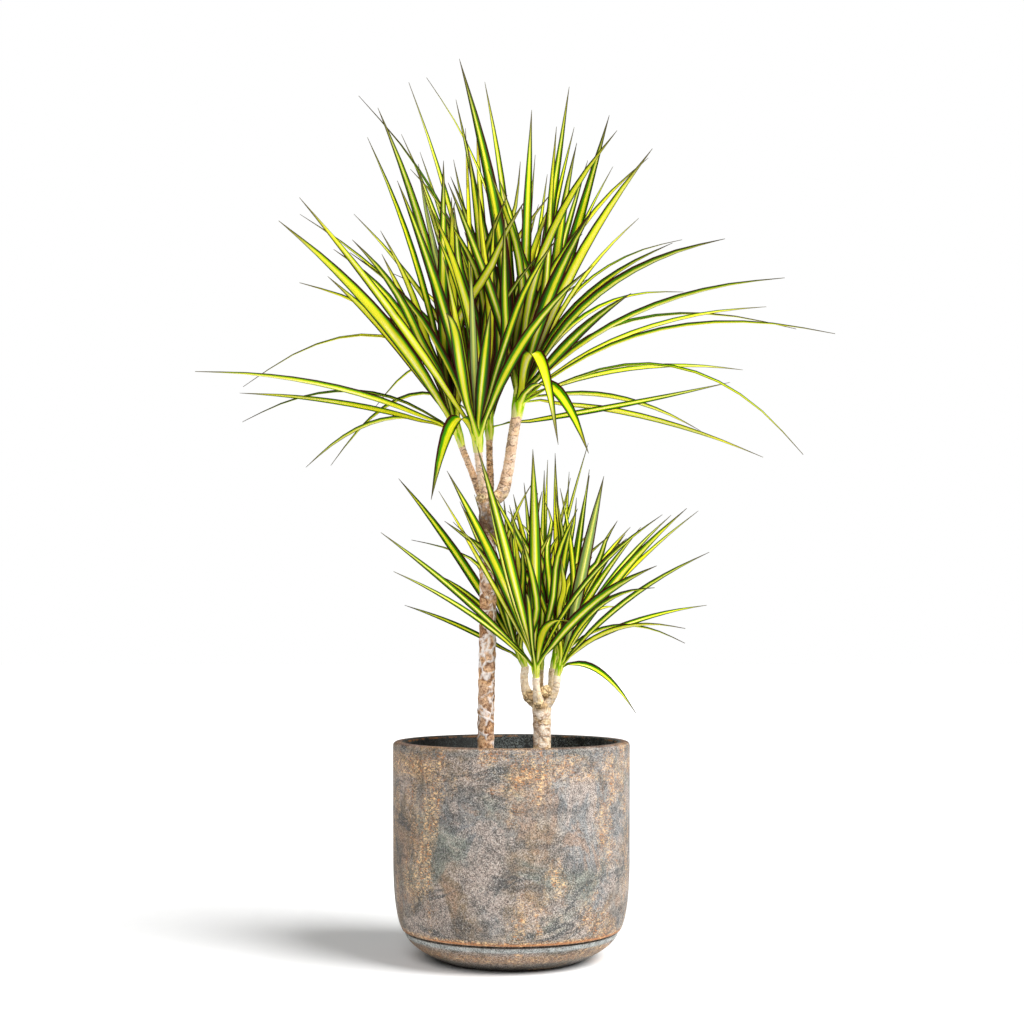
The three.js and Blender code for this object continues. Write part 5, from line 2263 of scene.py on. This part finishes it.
@dataclass
class Studio:
    """A white studio: a seamless floor, soft lights and the camera."""

    eye: tuple[float, float, float] = (0.6, -1700.0, 325.0)
    pitch: float = 0.0728
    focal_pixels: float = 1661.5
    picture: float = 1024.0
    sensor: float = 36.0
    ambient: float = 0.11
    finish: FloorFinish = field(default_factory=FloorFinish)

    def build(self) -> None:
        """Sets up the camera, the floor, the lights and the white surroundings."""
        self.add_camera()
        self.add_floor()
        self.add_world()
        self.add_light("key", (1.1, -0.65, 1.2), 38.0, 4.9)
        self.add_light("fill", (-0.65, -1.4, 1.5), 40.0, 1.5)
        view = bpy.context.scene.view_settings
        view.view_transform = "Standard"
        view.look = "None"

    def add_camera(self) -> None:
        """Puts the camera where the picture was taken from."""
        lens = bpy.data.cameras.new("camera")
        lens.sensor_width = self.sensor
        lens.lens = self.sensor * self.focal_pixels / self.picture
        camera = bpy.data.objects.new("camera", lens)
        camera.location = Vector(self.eye) * MM
        camera.rotation_euler = (math.pi / 2 + self.pitch, 0, 0)
        bpy.context.scene.collection.objects.link(camera)
        bpy.context.scene.camera = camera

    def add_floor(self) -> None:
        """Lays the floor."""
        deselect_all()
        bpy.ops.mesh.primitive_plane_add(size=30, location=(0, 0, -0.0002))
        floor = name_new("floor")
        floor.data.materials.append(self.finish.material())

    def add_world(self) -> None:
        """Surrounds the scene with white, which lights the plant more softly than it shows."""
        world = bpy.data.worlds.new("studio")
        sh = Shader(world)
        seen = sh.node("ShaderNodeLightPath", output="Is Camera Ray")
        strength = seen * (1 - self.ambient) + self.ambient
        sky = sh.node("ShaderNodeBackground", inputs={"Color": (1, 1, 1, 1), "Strength": strength})
        output = sh.tree.nodes.new("ShaderNodeOutputWorld")
        sh.tree.links.new(sky.socket, output.inputs["Surface"])
        bpy.context.scene.world = world

    @staticmethod
    def add_light(name: str, way: Sequence[float], spread: float, strength: float) -> None:
        """Adds a broad, distant light.

        Args:
            name: The light's name.
            way: The direction that it comes from.
            spread: How wide it looks from the plant, in degrees.
            strength: How strong it is.
        """
        lamp = bpy.data.lights.new(name, "SUN")
        lamp.angle = math.radians(spread)
        lamp.energy = strength
        light = bpy.data.objects.new(name, lamp)
        light.location = Vector(way) * 2
        light.rotation_euler = (-Vector(way)).to_track_quat("-Z", "Y").to_euler()
        bpy.context.scene.collection.objects.link(light)


def main() -> None:
    """Builds the studio and every piece of the plant, in order."""
    logging.basicConfig(level=logging.INFO, format="%(message)s")
    Studio().build()
    pot = Pot()
    pot.build()
    Soil(pot).build()
    netted = BarkFinish(Bark.NETTED, wood="e8b888", scar="f6e2ce", patch="a8724c", pit="47291a",
                        speck="7e4d30", ridge="fdf4ee", pale_cells=0.22, seams=0.60, fork=468)
    ringed = BarkFinish(Bark.RINGED, wood="fae2b6", scar="fff5ea", patch="eecb9e", pit="80562f",
                        speck="d2a270", ridge="875730", pale_cells=0.90, seams=0.25, fork=256, flat=1.7,
                        knob="f2d09c")
    CanePiece(CANES[0], HEADS, netted, Slot.BARK_TALL).build()
    CanePiece(CANES[1], HEADS, ringed, Slot.BARK_SHORT).build()
    growth = Growth()
    plan = LeafPlan(HEADS, CANES, growth)
    LOG.info("%d leaves laid out", len(plan.owner))
    blade = Blade()
    pattern = blade.build()
    leaf = LeafFinish().material()
    for head in HEADS:
        LeafHead(head, plan.leaves_of(head), growth, blade, pattern).build(leaf)
    bpy.data.objects.remove(pattern)


if __name__ == "__main__":
    main()
